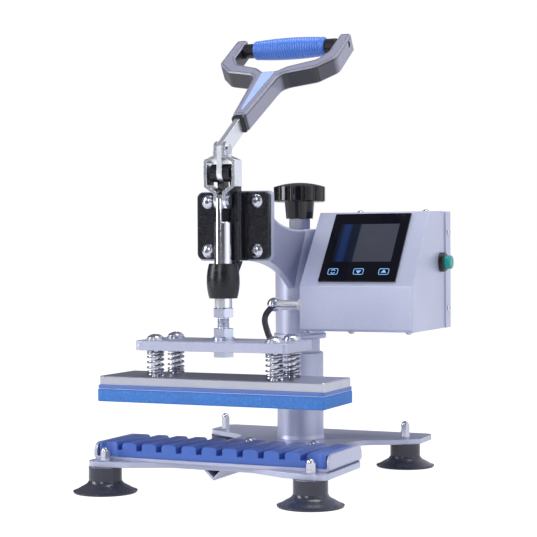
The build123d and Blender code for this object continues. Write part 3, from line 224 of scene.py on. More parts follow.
class Finish(Nodes):
    """A material with one Principled shader."""

    def __init__(self, name):
        self.material = bpy.data.materials.new(name)
        super().__init__(self.material)
        self.shader = self.tree.nodes.new("ShaderNodeBsdfPrincipled")
        self.node("ShaderNodeOutputMaterial", {}, {0: Value(self, self.shader.outputs[0])})

    def place(self):
        return self.node("ShaderNodeTexCoord", {}, {}, "Object")

    def facing(self, direction):
        """How far the surface faces a direction of the piece itself, from -1 to 1."""
        return self.dot(self.node("ShaderNodeTexCoord", {}, {}, "Normal"), direction)

    def along(self, direction, origin):
        """Distance of a point along a direction, from an origin, in metres."""
        settings = {"operation": "SUBTRACT"}
        moved = self.node("ShaderNodeVectorMath", settings, {0: self.place(), 1: origin})
        return self.dot(moved, direction)

    def noise(self, scale, detail=2.0, roughness=0.5):
        sockets = {"Vector": self.place(), "Scale": scale, "Detail": detail, "Roughness": roughness}
        return self.node("ShaderNodeTexNoise", {}, sockets)

    def specks(self, scale):
        sockets = {"Vector": self.place(), "Scale": scale}
        return self.node("ShaderNodeTexVoronoi", {}, sockets, "Distance")

    def between(self, factor, low, high):
        """Slides from one number to the other as factor goes from 0 to 1."""
        return factor * (high - low) + low

    def bump(self, height, strength, distance, edge=0.0):
        """Relief of a height. With an edge, sharp edges catch light as if broken by it."""
        sockets = {"Height": height, "Strength": strength, "Distance": distance}
        if edge:
            sockets["Normal"] = self.node("ShaderNodeBevel", {"samples": 4}, {"Radius": edge})
        return self.node("ShaderNodeBump", {}, sockets)

    def surface(self, **values):
        names = {
            "base": "Base Color",
            "roughness": "Roughness",
            "metallic": "Metallic",
            "normal": "Normal",
            "coat": "Coat Weight",
            "coat_roughness": "Coat Roughness",
            "specular": "Specular IOR Level",
            "sheen": "Sheen Weight",
            "glow": "Emission Color",
            "glow_strength": "Emission Strength",
        }
        for name, value in values.items():
            self.put(self.shader.inputs[names[name]], value)
        return self.material


print("finishes can be written")


# %% [markdown]
# The castings, plates and tube are sprayed with a silver hammer paint: pale lavender grey, with
# a fine metallic speck and a slightly dimpled skin. The box has the same paint with a finer
# skin. Two noises make it, a small one for the dimples and a larger one for the faint clouding
# that keeps big faces from looking flat. A share of metal in the shader stands for the flakes.

# %% Silver paints
CLOUDING = 0.55
FLAKES = 0.45


def silver_paint(name, base, deep, dimple, grain, roughness):
    paint = Finish(name)
    clouds = paint.noise(scale=14.0, detail=3.0)
    specks = paint.noise(scale=grain, roughness=0.7)
    return paint.surface(
        base=paint.tint(clouds * CLOUDING + specks * (1 - CLOUDING), deep, base),
        metallic=FLAKES,
        roughness=paint.between(specks, low=roughness - 0.06, high=roughness + 0.08),
        normal=paint.bump(specks, strength=dimple, distance=0.4 * MM, edge=0.9 * MM),
    )


hammer_paint = silver_paint(
    "hammer_paint",
    base=(0.60, 0.63, 0.80),
    deep=(0.36, 0.38, 0.52),
    dimple=0.30,
    grain=800.0,
    roughness=0.36,
)
box_paint = silver_paint(
    "box_paint",
    base=(0.69, 0.73, 0.92),
    deep=(0.43, 0.46, 0.62),
    dimple=0.22,
    grain=700.0,
    roughness=0.34,
)
print("paints", hammer_paint.name, box_paint.name)


# %% [markdown]
# Bright metal is next: zinc on the screws and studs, satin zinc on the large nuts, polish on
# the plunger, bright steel on the stamped links and the lever, milled aluminium on the platen
# and dark spring wire. Metal shows what stands round it, so its own colour is pale, and a
# stretched noise gives the turned or brushed marks.

# %% Bright metals
STAINING = 0.6
STAIN_DEPTH = 0.82


def bright_metal(name, base, roughness, marks=300.0, stretch=(1, 1, 1), depth=0.02):
    metal = Finish(name)
    scaled = metal.node("ShaderNodeMapping", {}, {"Vector": metal.place(), "Scale": stretch})
    sockets = {"Vector": scaled, "Scale": marks, "Detail": 3.0}
    lines = metal.node("ShaderNodeTexNoise", {}, sockets)
    stains = metal.noise(scale=60.0)
    darker = tuple(channel * STAIN_DEPTH for channel in base)
    return metal.surface(
        base=metal.tint(stains * STAINING + lines * (1 - STAINING), darker, base),
        metallic=1.0,
        roughness=metal.between(lines, low=roughness - 0.03, high=roughness + 0.05),
        normal=metal.bump(lines, strength=depth, distance=0.2 * MM, edge=0.4 * MM),
    )


zinc = bright_metal("zinc_plate", (0.62, 0.64, 0.73), 0.17, depth=0.01)
satin_zinc = bright_metal("satin_zinc", (0.62, 0.66, 0.80), 0.28, depth=0.01)
polish = bright_metal("polished_rod", (0.80, 0.82, 0.90), 0.09, marks=200.0, stretch=(1, 1, 8))
stamped = bright_metal("stamped_steel", (0.88, 0.92, 1.00), 0.24, marks=250.0, depth=0.005)
blade_steel = bright_metal("blade_steel", (0.90, 0.93, 0.99), 0.34, stretch=(1, 5, 1), depth=0.005)
milled = bright_metal("milled_aluminium", (0.60, 0.62, 0.72), 0.32, stretch=(1, 8, 8), depth=0.05)
spring_wire = bright_metal("spring_wire", (0.52, 0.53, 0.60), 0.18)
print("metals ready")


# %% [markdown]
# Black parts are of three kinds. The clamp is a casting under thick gloss paint, so the grain
# of the casting still shows in soft pits. The knob and collars are moulded and glossy. The feet
# are rubber, a little paler, with a soft shine. One function makes every moulded plastic, since
# the button, the inlay and the circuit board differ from the knob in colour and gloss alone.

# %% Black finishes and plastics
def black_casting():
    paint = Finish("black_casting")
    pits = paint.noise(scale=260.0, detail=4.0, roughness=0.6)
    return paint.surface(
        base=paint.tint(pits, (0.002, 0.002, 0.005), (0.012, 0.013, 0.022)),
        roughness=paint.between(pits, low=0.16, high=0.34),
        specular=0.40,
        normal=paint.bump(pits, strength=0.55, distance=0.8 * MM, edge=0.8 * MM),
    )


def moulded(name, base, roughness, grain=900.0, depth=0.06):
    plastic = Finish(name)
    skin = plastic.noise(scale=grain)
    wear = plastic.noise(scale=40.0, detail=3.0)
    paler = tuple(channel * 1.25 + 0.004 for channel in base)
    return plastic.surface(
        base=plastic.tint(wear, base, paler),
        roughness=plastic.between(skin, low=roughness - 0.05, high=roughness + 0.08),
        normal=plastic.bump(skin, strength=depth, distance=0.3 * MM, edge=0.5 * MM),
    )


cast_black = black_casting()
knob_black = moulded("knob_black", (0.002, 0.002, 0.005), 0.09)
foot_rubber = moulded("foot_rubber", (0.028, 0.030, 0.048), 0.20, grain=500.0, depth=0.02)
collar_black = moulded("collar_black", (0.008, 0.008, 0.014), 0.28)
cable_black = moulded("cable_black", (0.018, 0.018, 0.028), 0.40, grain=1400.0, depth=0.2)
board_green = moulded("board_green", (0.010, 0.120, 0.050), 0.40)
button_green = moulded("button_green", (0.000, 0.280, 0.260), 0.20)
inlay_blue = moulded("inlay_blue", (0.330, 0.450, 0.790), 0.20)
film_pale = moulded("film_pale", (0.300, 0.420, 0.760), 0.40)
print("blacks and plastics ready")


# %% [markdown]
# The blues remain. The pen mat and the backing are cast silicone with a satin skin, and the
# grip is a soft rubber that shines a little on its ribs: one function makes the three. The pad
# under the platen is silicone foam, duller, made of small cells, and the hollow of each cell is
# darkened by painted shade.

# %% Blue rubbers
DUSTING = 0.4
FOAM_CELLS = 520.0


def silicone(name, base, deep, roughness):
    rubber = Finish(name)
    clouds = rubber.noise(scale=35.0, detail=3.0)
    dust = rubber.noise(scale=1800.0)
    return rubber.surface(
        base=rubber.tint(clouds * (1 - DUSTING) + dust * DUSTING, deep, base),
        roughness=rubber.between(dust, low=roughness - 0.06, high=roughness + 0.08),
        sheen=0.05,
        normal=rubber.bump(dust, strength=0.15, distance=0.3 * MM, edge=0.5 * MM),
    )


def foam(name, base, deep):
    cellular = Finish(name)
    pore_depth_and_shade = cellular.specks(FOAM_CELLS)
    clouds = cellular.noise(scale=50.0, detail=3.0)
    return cellular.surface(
        # Painted shade: the hollow of each cell is darkened toward the deep colour.
        base=cellular.tint(pore_depth_and_shade * 0.7 + clouds * 0.4, deep, base),
        roughness=cellular.between(clouds, low=0.62, high=0.8),
        normal=cellular.bump(pore_depth_and_shade, strength=0.5, distance=0.4 * MM),
    )


mat_blue = silicone("mat_blue", (0.070, 0.165, 0.560), (0.050, 0.120, 0.440), 0.36)
backing_blue = silicone("backing_blue", (0.110, 0.190, 0.520), (0.080, 0.150, 0.430), 0.46)
grip_blue = silicone("grip_blue", (0.085, 0.230, 0.760), (0.060, 0.180, 0.640), 0.28)
pad_blue = foam("pad_blue", (0.060, 0.240, 0.680), (0.024, 0.100, 0.370))
print("rubbers ready")


# %% [markdown]
# The fork of the handle is moulded in two tones: its flat faces are a satin lavender grey, its
# underside and its inside a smoky charcoal, with a fine dark seam round it. Its outer flanks
# carry a painted reflection, lavender grey over the charcoal, where they face out to the light.
# The finish asks which way the surface faces, in the fork's own plane, so the tones and the
# painted reflection stay put when the handle swings.

# %% Two tone fork with a painted reflection
ALONG_X = (1, 0, 0)
HANDLE_LEAN = math.radians(56)
FACE_LIMIT = 0.62
REFLECTION_START, REFLECTION_RATE = 0.72, 4.0
SEAM_LOW, SEAM_HIGH = 0.0066, 0.0074
CHARCOAL = (0.020, 0.020, 0.032)
FLANK_PAINTED_REFLECTION = (0.300, 0.305, 0.410)
FACE_GREY = (0.250, 0.255, 0.350)
SEAM_DARK = (0.015, 0.015, 0.020)
fork_normal = (0, -math.cos(HANDLE_LEAN), math.sin(HANDLE_LEAN))
link_pin = tuple(middle("handle_pin"))


def fork_finish():
    plastic = Finish("fork_two_tone_and_reflection")
    face = plastic.facing(fork_normal).size().above(FACE_LIMIT)
    height = plastic.along(fork_normal, link_pin)
    seam = height.above(SEAM_LOW) * height.below(SEAM_HIGH) * (1 - face)
    side = plastic.along(ALONG_X, link_pin).above(0.0) * 2 - 1
    outward = plastic.facing(ALONG_X) * side
    # Painted reflection: flanks that face outward turn lavender grey over the charcoal.
    flank_with_reflection = plastic.tint((outward - REFLECTION_START) * REFLECTION_RATE, CHARCOAL, FLANK_PAINTED_REFLECTION)
    tone = plastic.tint(face, flank_with_reflection, FACE_GREY)
    skin = plastic.noise(scale=1200.0)
    return plastic.surface(
        base=plastic.tint(seam, tone, SEAM_DARK),
        roughness=plastic.between(skin, low=0.28, high=0.42),
        coat=0.3,
        coat_roughness=0.3,
        normal=plastic.bump(skin, strength=0.08, distance=0.3 * MM, edge=0.8 * MM),
    )


fork_tones_and_reflection = fork_finish()
print("fork finish ready")


# %% [markdown]
# The control panel is a sheet of black glass over a dark screen. Over the screen the glass
# carries a painted reflection: a deep blue band at its left and a smoky grey one at its right,
# so the finish measures along the panel and up its slope, and a ramp lays the reflected bands
# across the screen. The slope is the box's own: what it rises over what it runs back.

# %% Panel glass
SLOPE_RISE, SLOPE_RUN = 71.7, 55.3
PANEL_HALF_RISE = 0.041
SCREEN_LEFT, SCREEN_RIGHT = 0.009, 0.069
SCREEN_LOW, SCREEN_HIGH = 0.0228, 0.0689
GLASS_BLACK = (0.003, 0.003, 0.007)
NIGHT = (0.006, 0.010, 0.024)
REFLECTED_INDIGO = (0.010, 0.026, 0.090)
REFLECTED_SMOKE = (0.048, 0.052, 0.070)
# Painted reflection on the glass over the screen: blue at the left, smoky grey at the right.
SCREEN_REFLECTION_BANDS = [
    (0.03, NIGHT),
    (0.09, REFLECTED_INDIGO),
    (0.16, REFLECTED_INDIGO),
    (0.21, NIGHT),
    (0.33, NIGHT),
    (0.36, REFLECTED_SMOKE),
]

slope = math.atan2(SLOPE_RISE, SLOPE_RUN)
panel_rise = Vector((0, math.cos(slope), math.sin(slope)))
panel_out = Vector((0, -math.sin(slope), math.cos(slope)))
panel_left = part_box("glass_panel")[0].x
panel_foot = middle("glass_panel") - panel_rise * PANEL_HALF_RISE


def panel_finish():
    glass = Finish("panel_glass")
    across = glass.along(ALONG_X, (panel_left, 0, 0))
    rise = glass.along(tuple(panel_rise), tuple(panel_foot))
    in_width = across.above(SCREEN_LEFT) * across.below(SCREEN_RIGHT)
    inside = in_width * rise.above(SCREEN_LOW) * rise.below(SCREEN_HIGH)
    share = (across - SCREEN_LEFT) * (1 / (SCREEN_RIGHT - SCREEN_LEFT))
    smudge = glass.noise(scale=30.0, detail=3.0)
    return glass.surface(
        # The ramp lays the painted reflection over the screen; the rest of the glass stays black.
        base=glass.tint(inside, GLASS_BLACK, glass.ramp(share, SCREEN_REFLECTION_BANDS)),
        roughness=glass.between(smudge, low=0.05, high=0.12),
        specular=0.20,
    )


panel_glass = panel_finish()
print("panel glass ready, its slope is", round(math.degrees(slope), 1), "degrees")


# %% [markdown]
# The gland is two parts in one node: a pale nylon collar against the box, and the bright shaft
# that slides out of it. The finish changes from one to the other where the collar ends, which
# keeps the two parts in one piece of mesh.

# %% Gland finish
COLLAR_WIDTH = 0.0150
gland_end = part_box("cable_gland")[1].x


def gland_finish():
    both = Finish("gland_two_tone")
    nylon = both.along(ALONG_X, (gland_end - COLLAR_WIDTH, 0, 0)).above(0.0)
    marks = both.noise(scale=300.0)
    return both.surface(
        base=both.tint(nylon, (0.95, 0.95, 0.98), (0.66, 0.61, 0.62)),
        metallic=1 - nylon,
        roughness=both.between(nylon, low=0.30, high=0.42) + marks * 0.05,
        normal=both.bump(marks, strength=0.02, distance=0.2 * MM, edge=0.4 * MM),
    )


gland_tones = gland_finish()
print("gland collar is", COLLAR_WIDTH, "wide")


# %% [markdown]
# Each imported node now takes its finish. The mesh stays as packed: only its material slot
# changes. The table is sorted by finish, as a paint shop would sort the parts.

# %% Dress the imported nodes
finishes = {
    hammer_paint: "base_plate stiffener_rail tray column_tube post arm_casting pressure_plate",
    box_paint: "box_shell rear_cover",
    zinc: "foot_studs foot_nuts deck_bolts tray_screws clamp_screws box_screws box_mount_screws "
    "height_screw handle_pin link_rivets plunger_pin spring_bolts gland_ball",
    satin_zinc: "lock_nut head_bolt head_nuts",
    polish: "plunger grip_rod",
    gland_tones: "cable_gland",
    stamped: "link_left link_right",
    blade_steel: "handle_blade",
    milled: "heating_platen",
    cast_black: "clamp_body pivot_pin",
    knob_black: "knob switch_bezel heater_relay",
    foot_rubber: "foot_front_left foot_front_right foot_rear_left foot_rear_right",
    collar_black: "grip_collars mouth_plug terminal_box display_module",
    fork_tones_and_reflection: "handle_fork",
    inlay_blue: "handle_inlay",
    panel_glass: "glass_panel",
    board_green: "control_board",
    button_green: "power_button",
    film_pale: "light_film",
    backing_blue: "platen_backing",
    mat_blue: "pen_mat",
    pad_blue: "press_pad",
    grip_blue: "grip_barrel",
    spring_wire: "spring_front_left spring_front_right spring_rear_left spring_rear_right",
    cable_black: "heater_cable",
}
for material, names in finishes.items():
    for name in names.split():
        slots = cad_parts[name].data.materials
        slots.clear()
        slots.append(material)
bare = [name for name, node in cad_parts.items() if node.data.materials[0] not in finishes]
print("nodes without a finish:", bare)


# %% [markdown]
# New pieces share one ending: merge doubled points, make the faces point outward, shade them
# smooth but for their sharp edges, and give the mesh its finish.

# %% Finish a new piece
SHARP = math.radians(35)
DOUBLES = 0.000005


def make_piece(name, bm, material, sharp=SHARP):
    bmesh.ops.remove_doubles(bm, verts=bm.verts, dist=DOUBLES)
    bmesh.ops.recalc_face_normals(bm, faces=bm.faces)
    mesh = bpy.data.meshes.new(name)
    bm.to_mesh(mesh)
    bm.free()
    for polygon in mesh.polygons:
        polygon.use_smooth = True
    mesh.set_sharp_from_angle(angle=sharp)
    mesh.materials.append(material)
    made = bpy.data.objects.new(name, mesh)
    bpy.context.scene.collection.objects.link(made)
    print(name, len(mesh.polygons), "faces")
    return made


# %% [markdown]
# The heater cable leaves the ball of the gland, dips and runs forward to the sleeve on the
# platen. It is drawn as a smooth curve through the same control points as its solid, in
# millimetres from the plunger's axis, then made a tube.

# %% Heater cable
CABLE_RADIUS = 0.003
CURVE_STEPS = 10
ROUND_STEPS = 5
cable_points = [
    (-10.92, 130.20, 160.22),
    (-13.02, 124.95, 156.10),
    (-11.40, 117.00, 151.00),
    (-6.00, 105.50, 147.00),
    (2.60, 90.00, 142.00),
    (12.30, 73.00, 136.80),
    (21.80, 59.00, 132.60),
    (30.30, 49.00, 128.30),
    (35.60, 42.90, 122.50),
    (38.00, 39.75, 114.30),
    (38.00, 39.75, 106.00),
]


def curve_line(name, points):
    data = bpy.data.curves.new(name, "CURVE")
    data.dimensions = "3D"
    data.resolution_u = CURVE_STEPS
    spline = data.splines.new("NURBS")
    spline.points.add(len(points) - 1)
    for point, place in zip(spline.points, points):
        point.co = (*place, 1.0)
    spline.order_u = 3
    spline.use_endpoint_u = True
    holder = bpy.data.objects.new(name, data)
    bpy.context.scene.collection.objects.link(holder)
    return holder


def tube_along(name, points, radius, material):
    """A closed tube round a smooth line, and the points of that line."""
    holder = curve_line(name + "_line", points)
    line = bpy.data.meshes.new_from_object(holder)
    path = [vertex.co.copy() for vertex in line.vertices]
    holder.data.bevel_depth = radius
    holder.data.bevel_resolution = ROUND_STEPS
    holder.data.use_fill_caps = True
    tube = bpy.data.meshes.new_from_object(holder)
    bpy.data.objects.remove(holder)
    bm = bmesh.new()
    bm.from_mesh(tube)
    return make_piece(name, bm, material), path


route = [plunger_axis + Vector(point) * MM for point in cable_points]
cable, cable_path = tube_along("cable_sleeve", route, CABLE_RADIUS, cable_black)
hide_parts("heater_cable")
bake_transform(cable)


# %% [markdown]
# Each spring is a helix of round wire with its last turn at each end lying flat against the
# plate, as wound springs are closed. The helix comes from a formula: the share of the height
# lags behind the share of the turns at both ends, which draws the end turns in.

# %% Coil springs
WIRE_RADIUS = 0.0010
SPRING_TURNS = 6.75
STEPS_PER_TURN = 20
END_CLOSING = 0.55


def spring_points(low, high, radius, centre):
    """Points of a helix whose ends are drawn in flat."""
    count = round(SPRING_TURNS * STEPS_PER_TURN)
    bottom = low + WIRE_RADIUS
    rise = high - low - 2 * WIRE_RADIUS
    points = []
    for step in range(count + 1):
        share = step / count
        eased = share - END_CLOSING * math.sin(2 * math.pi * share) / (2 * math.pi)
        angle = 2 * math.pi * SPRING_TURNS * share
        place = Vector((math.cos(angle), math.sin(angle), 0)) * radius
        points.append(centre + place + Vector((0, 0, bottom + rise * eased)))
    return points


for name in ("spring_front_left", "spring_front_right", "spring_rear_left", "spring_rear_right"):
    low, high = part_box(name)
    centre = Vector(((low.x + high.x) / 2, (low.y + high.y) / 2, 0))
    radius = (high.x - low.x) / 2 - WIRE_RADIUS
    helix = spring_points(low.z, high.z, radius, centre)
    coil, _ = tube_along(name + "_coil", helix, WIRE_RADIUS, spring_wire)
    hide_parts(name)
    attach(coil, "plunger")
    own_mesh(coil)


# %% [markdown]
# Soft edges matter on rubber: nothing cast in silicone has a knife edge. A copy of the packed
# mat is merged and its flat faces joined, and every sharp edge is bevelled. The backing of the
# platen gets the same care.

# %% Pen mat and backing with soft edges
MAT_EDGE = 0.0004
BACKING_EDGE = 0.0005
FLAT = math.radians(1)


def soft_copy(node, name, edge, material):
    bm = bmesh.new()
    bm.from_mesh(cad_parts[node].data)
    bmesh.ops.remove_doubles(bm, verts=bm.verts, dist=DOUBLES)
    bmesh.ops.dissolve_limit(bm, angle_limit=FLAT, verts=bm.verts, edges=bm.edges)
    hard = [e for e in bm.edges if len(e.link_faces) == 2 and e.calc_face_angle() > SHARP]
    bmesh.ops.bevel(
        bm,
        geom=hard,
        offset=edge,
        affect="EDGES",
        segments=3,
        profile=0.5,
        material=-1,
        clamp_overlap=True,
    )
    copy = make_piece(name, bm, material)
    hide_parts(node)
    return copy


mat = soft_copy("pen_mat", "pen_mat_rubber", MAT_EDGE, mat_blue)
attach(mat, "base")
backing = soft_copy("platen_backing", "backing_rubber", BACKING_EDGE, backing_blue)
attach(backing, "platen")


# %% [markdown]
# The pad is a slab of foam. It starts as a block, has its edges rounded, is cut across into
# narrow strips and has its long sides drawn in by a hair, more in some strips than in others,
# because cut foam is never quite straight. Two waves of different length set how much.

# %% Foam pad
PAD_ROUND = 0.0012
PAD_CUTS = 40
PAD_DENT = 0.0003
PAD_SKIN = 0.0001
LONG_WAVE, SHORT_WAVE, WAVE_SHIFT = 23, 61, 1


def foam_pad():
    low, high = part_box("press_pad")
    size = high - low
    bm = bmesh.new()
    bmesh.ops.create_cube(bm, size=1.0)
    bmesh.ops.scale(bm, vec=size, verts=bm.verts)
    bmesh.ops.bevel(
        bm, geom=bm.edges[:], offset=PAD_ROUND, affect="EDGES", segments=3, profile=0.5, material=-1
    )
    long_edges = [e for e in bm.edges if abs((e.verts[0].co - e.verts[1].co).x) > size.x / 2]
    bmesh.ops.subdivide_edges(bm, edges=long_edges, cuts=PAD_CUTS, use_grid_fill=True)
    for vertex in bm.verts:
        share = vertex.co.x / size.x
        wave = math.sin(LONG_WAVE * share) * math.sin(SHORT_WAVE * share + WAVE_SHIFT)
        vertex.co.y -= math.copysign(abs(PAD_DENT * wave) + PAD_SKIN, vertex.co.y)
    bmesh.ops.translate(bm, vec=(low + high) / 2, verts=bm.verts)
    return make_piece("foam_pad", bm, pad_blue)


pad = foam_pad()
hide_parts("press_pad")
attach(pad, "platen")


# %% [markdown]
# The grip is a barrel of rubber with fine ribs round it and a smooth band at each end. A single
# outline is spun about the axis of the rod: a parabola gives the belly, the ribs are a sine on
# the outline's radius, and the radius falls away at the very ends to round them.

# %% Ribbed grip
RIB_PITCH = 0.0026
RIB_DEPTH = 0.0006
END_BAND = 0.0035
END_ROUND = 0.0012
END_SHARE = 0.835
ROD_RADIUS = 0.0035
GRIP_STEPS = 260
GRIP_SIDES = 40
GRIP_SHARP = math.radians(60)


def ribbed_grip():
    low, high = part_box("grip_barrel")
    centre = (low + high) / 2
    half = (high.x - low.x) / 2
    belly = (high.z - low.z) / 2
    end = belly * END_SHARE
    bm = bmesh.new()
    row = []
    for step in range(GRIP_STEPS + 1):
        x = -half + 2 * half * step / GRIP_STEPS
        radius = belly - (belly - end) * (x / half) ** 2
        if abs(x) < half - END_BAND:
            radius -= RIB_DEPTH * (0.5 - 0.5 * math.cos(2 * math.pi * x / RIB_PITCH))
        radius -= END_ROUND * max(0.0, 1 - (half - abs(x)) / END_ROUND) ** 2
        row.append(bm.verts.new((x, 0, radius)))
    ends = [bm.verts.new((-half, 0, ROD_RADIUS)), bm.verts.new((half, 0, ROD_RADIUS))]
    outline = [ends[0], *row, ends[1]]
    for first, second in zip(outline, outline[1:]):
        bm.edges.new((first, second))
    bmesh.ops.spin(
        bm,
        geom=bm.verts[:] + bm.edges[:],
        cent=(0, 0, 0),
        axis=(1, 0, 0),
        angle=2 * math.pi,
        steps=GRIP_SIDES,
        use_merge=True,
    )
    bmesh.ops.translate(bm, vec=centre, verts=bm.verts)
    return make_piece("grip_rubber", bm, grip_blue, GRIP_SHARP)


grip = ribbed_grip()
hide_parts("grip_barrel")
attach(grip, "handle")


# %% [markdown]
# Between its two nuts the head bolt shows its thread. A small triangle is spun upward round the
# shank, one turn for each pitch. The lower nut sits on a washer, so the thread starts just
# above the two, and it ends just below the upper nut.

# %% Thread on the head bolt
THREAD_PITCH = 0.0015
THREAD_ROOT = 0.00500
THREAD_CREST = 0.00545
THREAD_FOOT = 0.42
THREAD_SIDES = 24
THREAD_SHARP = math.radians(20)
THREAD_CLEAR = 0.0008
WASHER_HEIGHT = 0.0026
NUT_HEIGHT = 0.008


def bolt_thread(low, high):
    bm = bmesh.new()
    half = THREAD_PITCH * THREAD_FOOT
    corners = [
        bm.verts.new((THREAD_ROOT, 0, low - half)),
        bm.verts.new((THREAD_CREST, 0, low)),
        bm.verts.new((THREAD_ROOT, 0, low + half)),
    ]
    profile = bm.faces.new(corners)
    turns = (high - low) / THREAD_PITCH
    bmesh.ops.spin(
        bm,
        geom=[profile],
        cent=(0, 0, 0),
        axis=(0, 0, 1),
        dvec=(0, 0, THREAD_PITCH / THREAD_SIDES),
        angle=2 * math.pi * turns,
        steps=int(THREAD_SIDES * turns),
    )
    bmesh.ops.translate(bm, vec=plunger_axis, verts=bm.verts)
    return make_piece("bolt_thread", bm, satin_zinc, THREAD_SHARP)


nuts_low, nuts_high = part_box("head_nuts")
thread = bolt_thread(
    nuts_low.z + WASHER_HEIGHT + NUT_HEIGHT + THREAD_CLEAR,
    nuts_high.z - NUT_HEIGHT - THREAD_CLEAR,
)
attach(thread, "plunger")


# %% [markdown]
# Three touch keys are printed on the glass: a loop, a down arrow and an up arrow, each in a
# rounded frame. They are thin raised shapes that glow a pale blue. Each is drawn flat and then
# laid on the slope of the glass, which is easier to read than drawing it in place.

# %% Touch key tools
KEY_HALF_X, KEY_HALF_Y = 0.00517, 0.003666
KEY_LINE = 0.0006
KEY_PROUD = 0.00025
KEY_CORNER, KEY_INNER_CORNER = 0.0016, 0.0010
CORNER_STEPS = 5
GLASS_PROUD = 0.001
panel_turn = Matrix((Vector((1, 0, 0)), panel_rise, panel_out)).transposed().to_4x4()


def key_finish():
    ink = Finish("key_ink")
    haze = ink.noise(scale=400.0)
    return ink.surface(
        base=ink.tint(haze, (0.16, 0.34, 0.62), (0.26, 0.46, 0.78)),
        roughness=0.4,
        glow=ink.tint(haze, (0.10, 0.28, 0.60), (0.18, 0.40, 0.80)),
        glow_strength=0.5,
    )


def lay_on_panel(bm, across, rise):
    """Moves a flat shape drawn in X and Y onto the glass."""
    place = Vector((panel_left + across, 0, 0)) + Vector((0, panel_foot.y, panel_foot.z))
    place += panel_rise * rise + panel_out * GLASS_PROUD
    bm.transform(Matrix.Translation(place) @ panel_turn)


def rounded_loop(bm, half_x, half_y, corner, height):
    """The edges of a rectangle with round corners, drawn flat at a height."""
    points = []
    for quarter in range(4):
        side_x = 1 if quarter in (0, 3) else -1
        side_y = 1 if quarter < 2 else -1
        for step in range(CORNER_STEPS + 1):
            angle = math.pi / 2 * (quarter + step / CORNER_STEPS)
            x = side_x * (half_x - corner) + corner * math.cos(angle)
            y = side_y * (half_y - corner) + corner * math.sin(angle)
            points.append(bm.verts.new((x, y, height)))
    return [bm.edges.new(pair) for pair in zip(points, points[1:] + points[:1])]


key_ink = key_finish()
print("keys stand", KEY_PROUD, "proud of the glass")


# %% [markdown]
# A frame is four rounded loops joined in turn: the outside, its upper edge, the upper edge of
# the inside and the inside. An arrow is a raised circle of three sides. The loop is two bent
# bars that chase each other round a circle, each a small rectangle spun through its arc.

# %% Touch keys
ARROW_RADIUS, ARROW_SQUASH = 0.0031, 0.8
LOOP_INNER, LOOP_OUTER = 0.0017, 0.0025
LOOP_START, LOOP_SWEEP, LOOP_STEPS = 0.4, 2.3, 10
KEY_RISE = 0.0108
key_places = {"loop": 0.013, "down": 0.039, "up": 0.0646}


def key_frame(bm):
    inner_x, inner_y = KEY_HALF_X - KEY_LINE, KEY_HALF_Y - KEY_LINE
    loops = [
        rounded_loop(bm, KEY_HALF_X, KEY_HALF_Y, KEY_CORNER, 0),
        rounded_loop(bm, KEY_HALF_X, KEY_HALF_Y, KEY_CORNER, KEY_PROUD),
        rounded_loop(bm, inner_x, inner_y, KEY_INNER_CORNER, KEY_PROUD),
        rounded_loop(bm, inner_x, inner_y, KEY_INNER_CORNER, 0),
    ]
    for first, second in zip(loops, loops[1:]):
        bmesh.ops.bridge_loops(bm, edges=first + second)


def key_arrow(bm, up):
    bmesh.ops.create_circle(bm, cap_ends=True, segments=3, radius=ARROW_RADIUS)
    bmesh.ops.scale(bm, vec=(1.0, ARROW_SQUASH, 1), verts=bm.verts)
    if not up:
        half_turn = Matrix.Rotation(math.pi, 3, "Z")
        bmesh.ops.rotate(bm, cent=(0, 0, 0), matrix=half_turn, verts=bm.verts)
    raised = bmesh.ops.extrude_face_region(bm, geom=bm.faces[:])
    tops = [v for v in raised["geom"] if isinstance(v, bmesh.types.BMVert)]
    bmesh.ops.translate(bm, vec=(0, 0, KEY_PROUD), verts=tops)


def key_loop(bm):
    for start in (LOOP_START, math.pi + LOOP_START):
        corners = [
            bm.verts.new((LOOP_INNER, 0, 0)),
            bm.verts.new((LOOP_OUTER, 0, 0)),
            bm.verts.new((LOOP_OUTER, 0, KEY_PROUD)),
            bm.verts.new((LOOP_INNER, 0, KEY_PROUD)),
        ]
        face = bm.faces.new(corners)
        to_start = Matrix.Rotation(start, 3, "Z")
        bmesh.ops.rotate(bm, cent=(0, 0, 0), matrix=to_start, verts=corners)
        bmesh.ops.spin(
            bm, geom=[face], cent=(0, 0, 0), axis=(0, 0, 1), angle=LOOP_SWEEP, steps=LOOP_STEPS
        )


for label, across in key_places.items():
    rim, glyph = bmesh.new(), bmesh.new()
    key_frame(rim)
    if label == "loop":
        key_loop(glyph)
    else:
        key_arrow(glyph, label == "up")
    for name, bm in (("key_frame_" + label, rim), ("key_glyph_" + label, glyph)):
        lay_on_panel(bm, across, KEY_RISE)
        part = make_piece(name, bm, key_ink)
        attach(part, "arm")


# %% [markdown]
# The stage is plain: a white paper sweep. The floor takes the shadow of the press and shows
# white otherwise, and the world is white to the camera. Polished rods mirror a white sheet at
# the right and behind and the darker room elsewhere, which gives them light and dark stripes.

# %% Floor and world
PAPER = (0.8, 0.8, 0.82)
PAPER_GLOW = 1.30
SEEN_GLOW = 0.74
MIRRORED_GLOW = 0.50
FLOOR_HALF = 6.0
FLOOR_DROP = 0.0002
ROOM_GREYS = [
    (0.00, (0.46, 0.46, 0.49)),
    (0.44, (0.26, 0.26, 0.29)),
    (0.52, (0.06, 0.06, 0.07)),
    (0.66, (0.15, 0.15, 0.17)),
    (0.90, (0.26, 0.26, 0.29)),
]
SWEEP_WAY = (0.75, 0.66, 0.0)
SWEEP_EDGE = [(0.40, (0, 0, 0)), (0.60, (1, 1, 1))]
SWEEP_WHITE = (0.88, 0.89, 0.94)


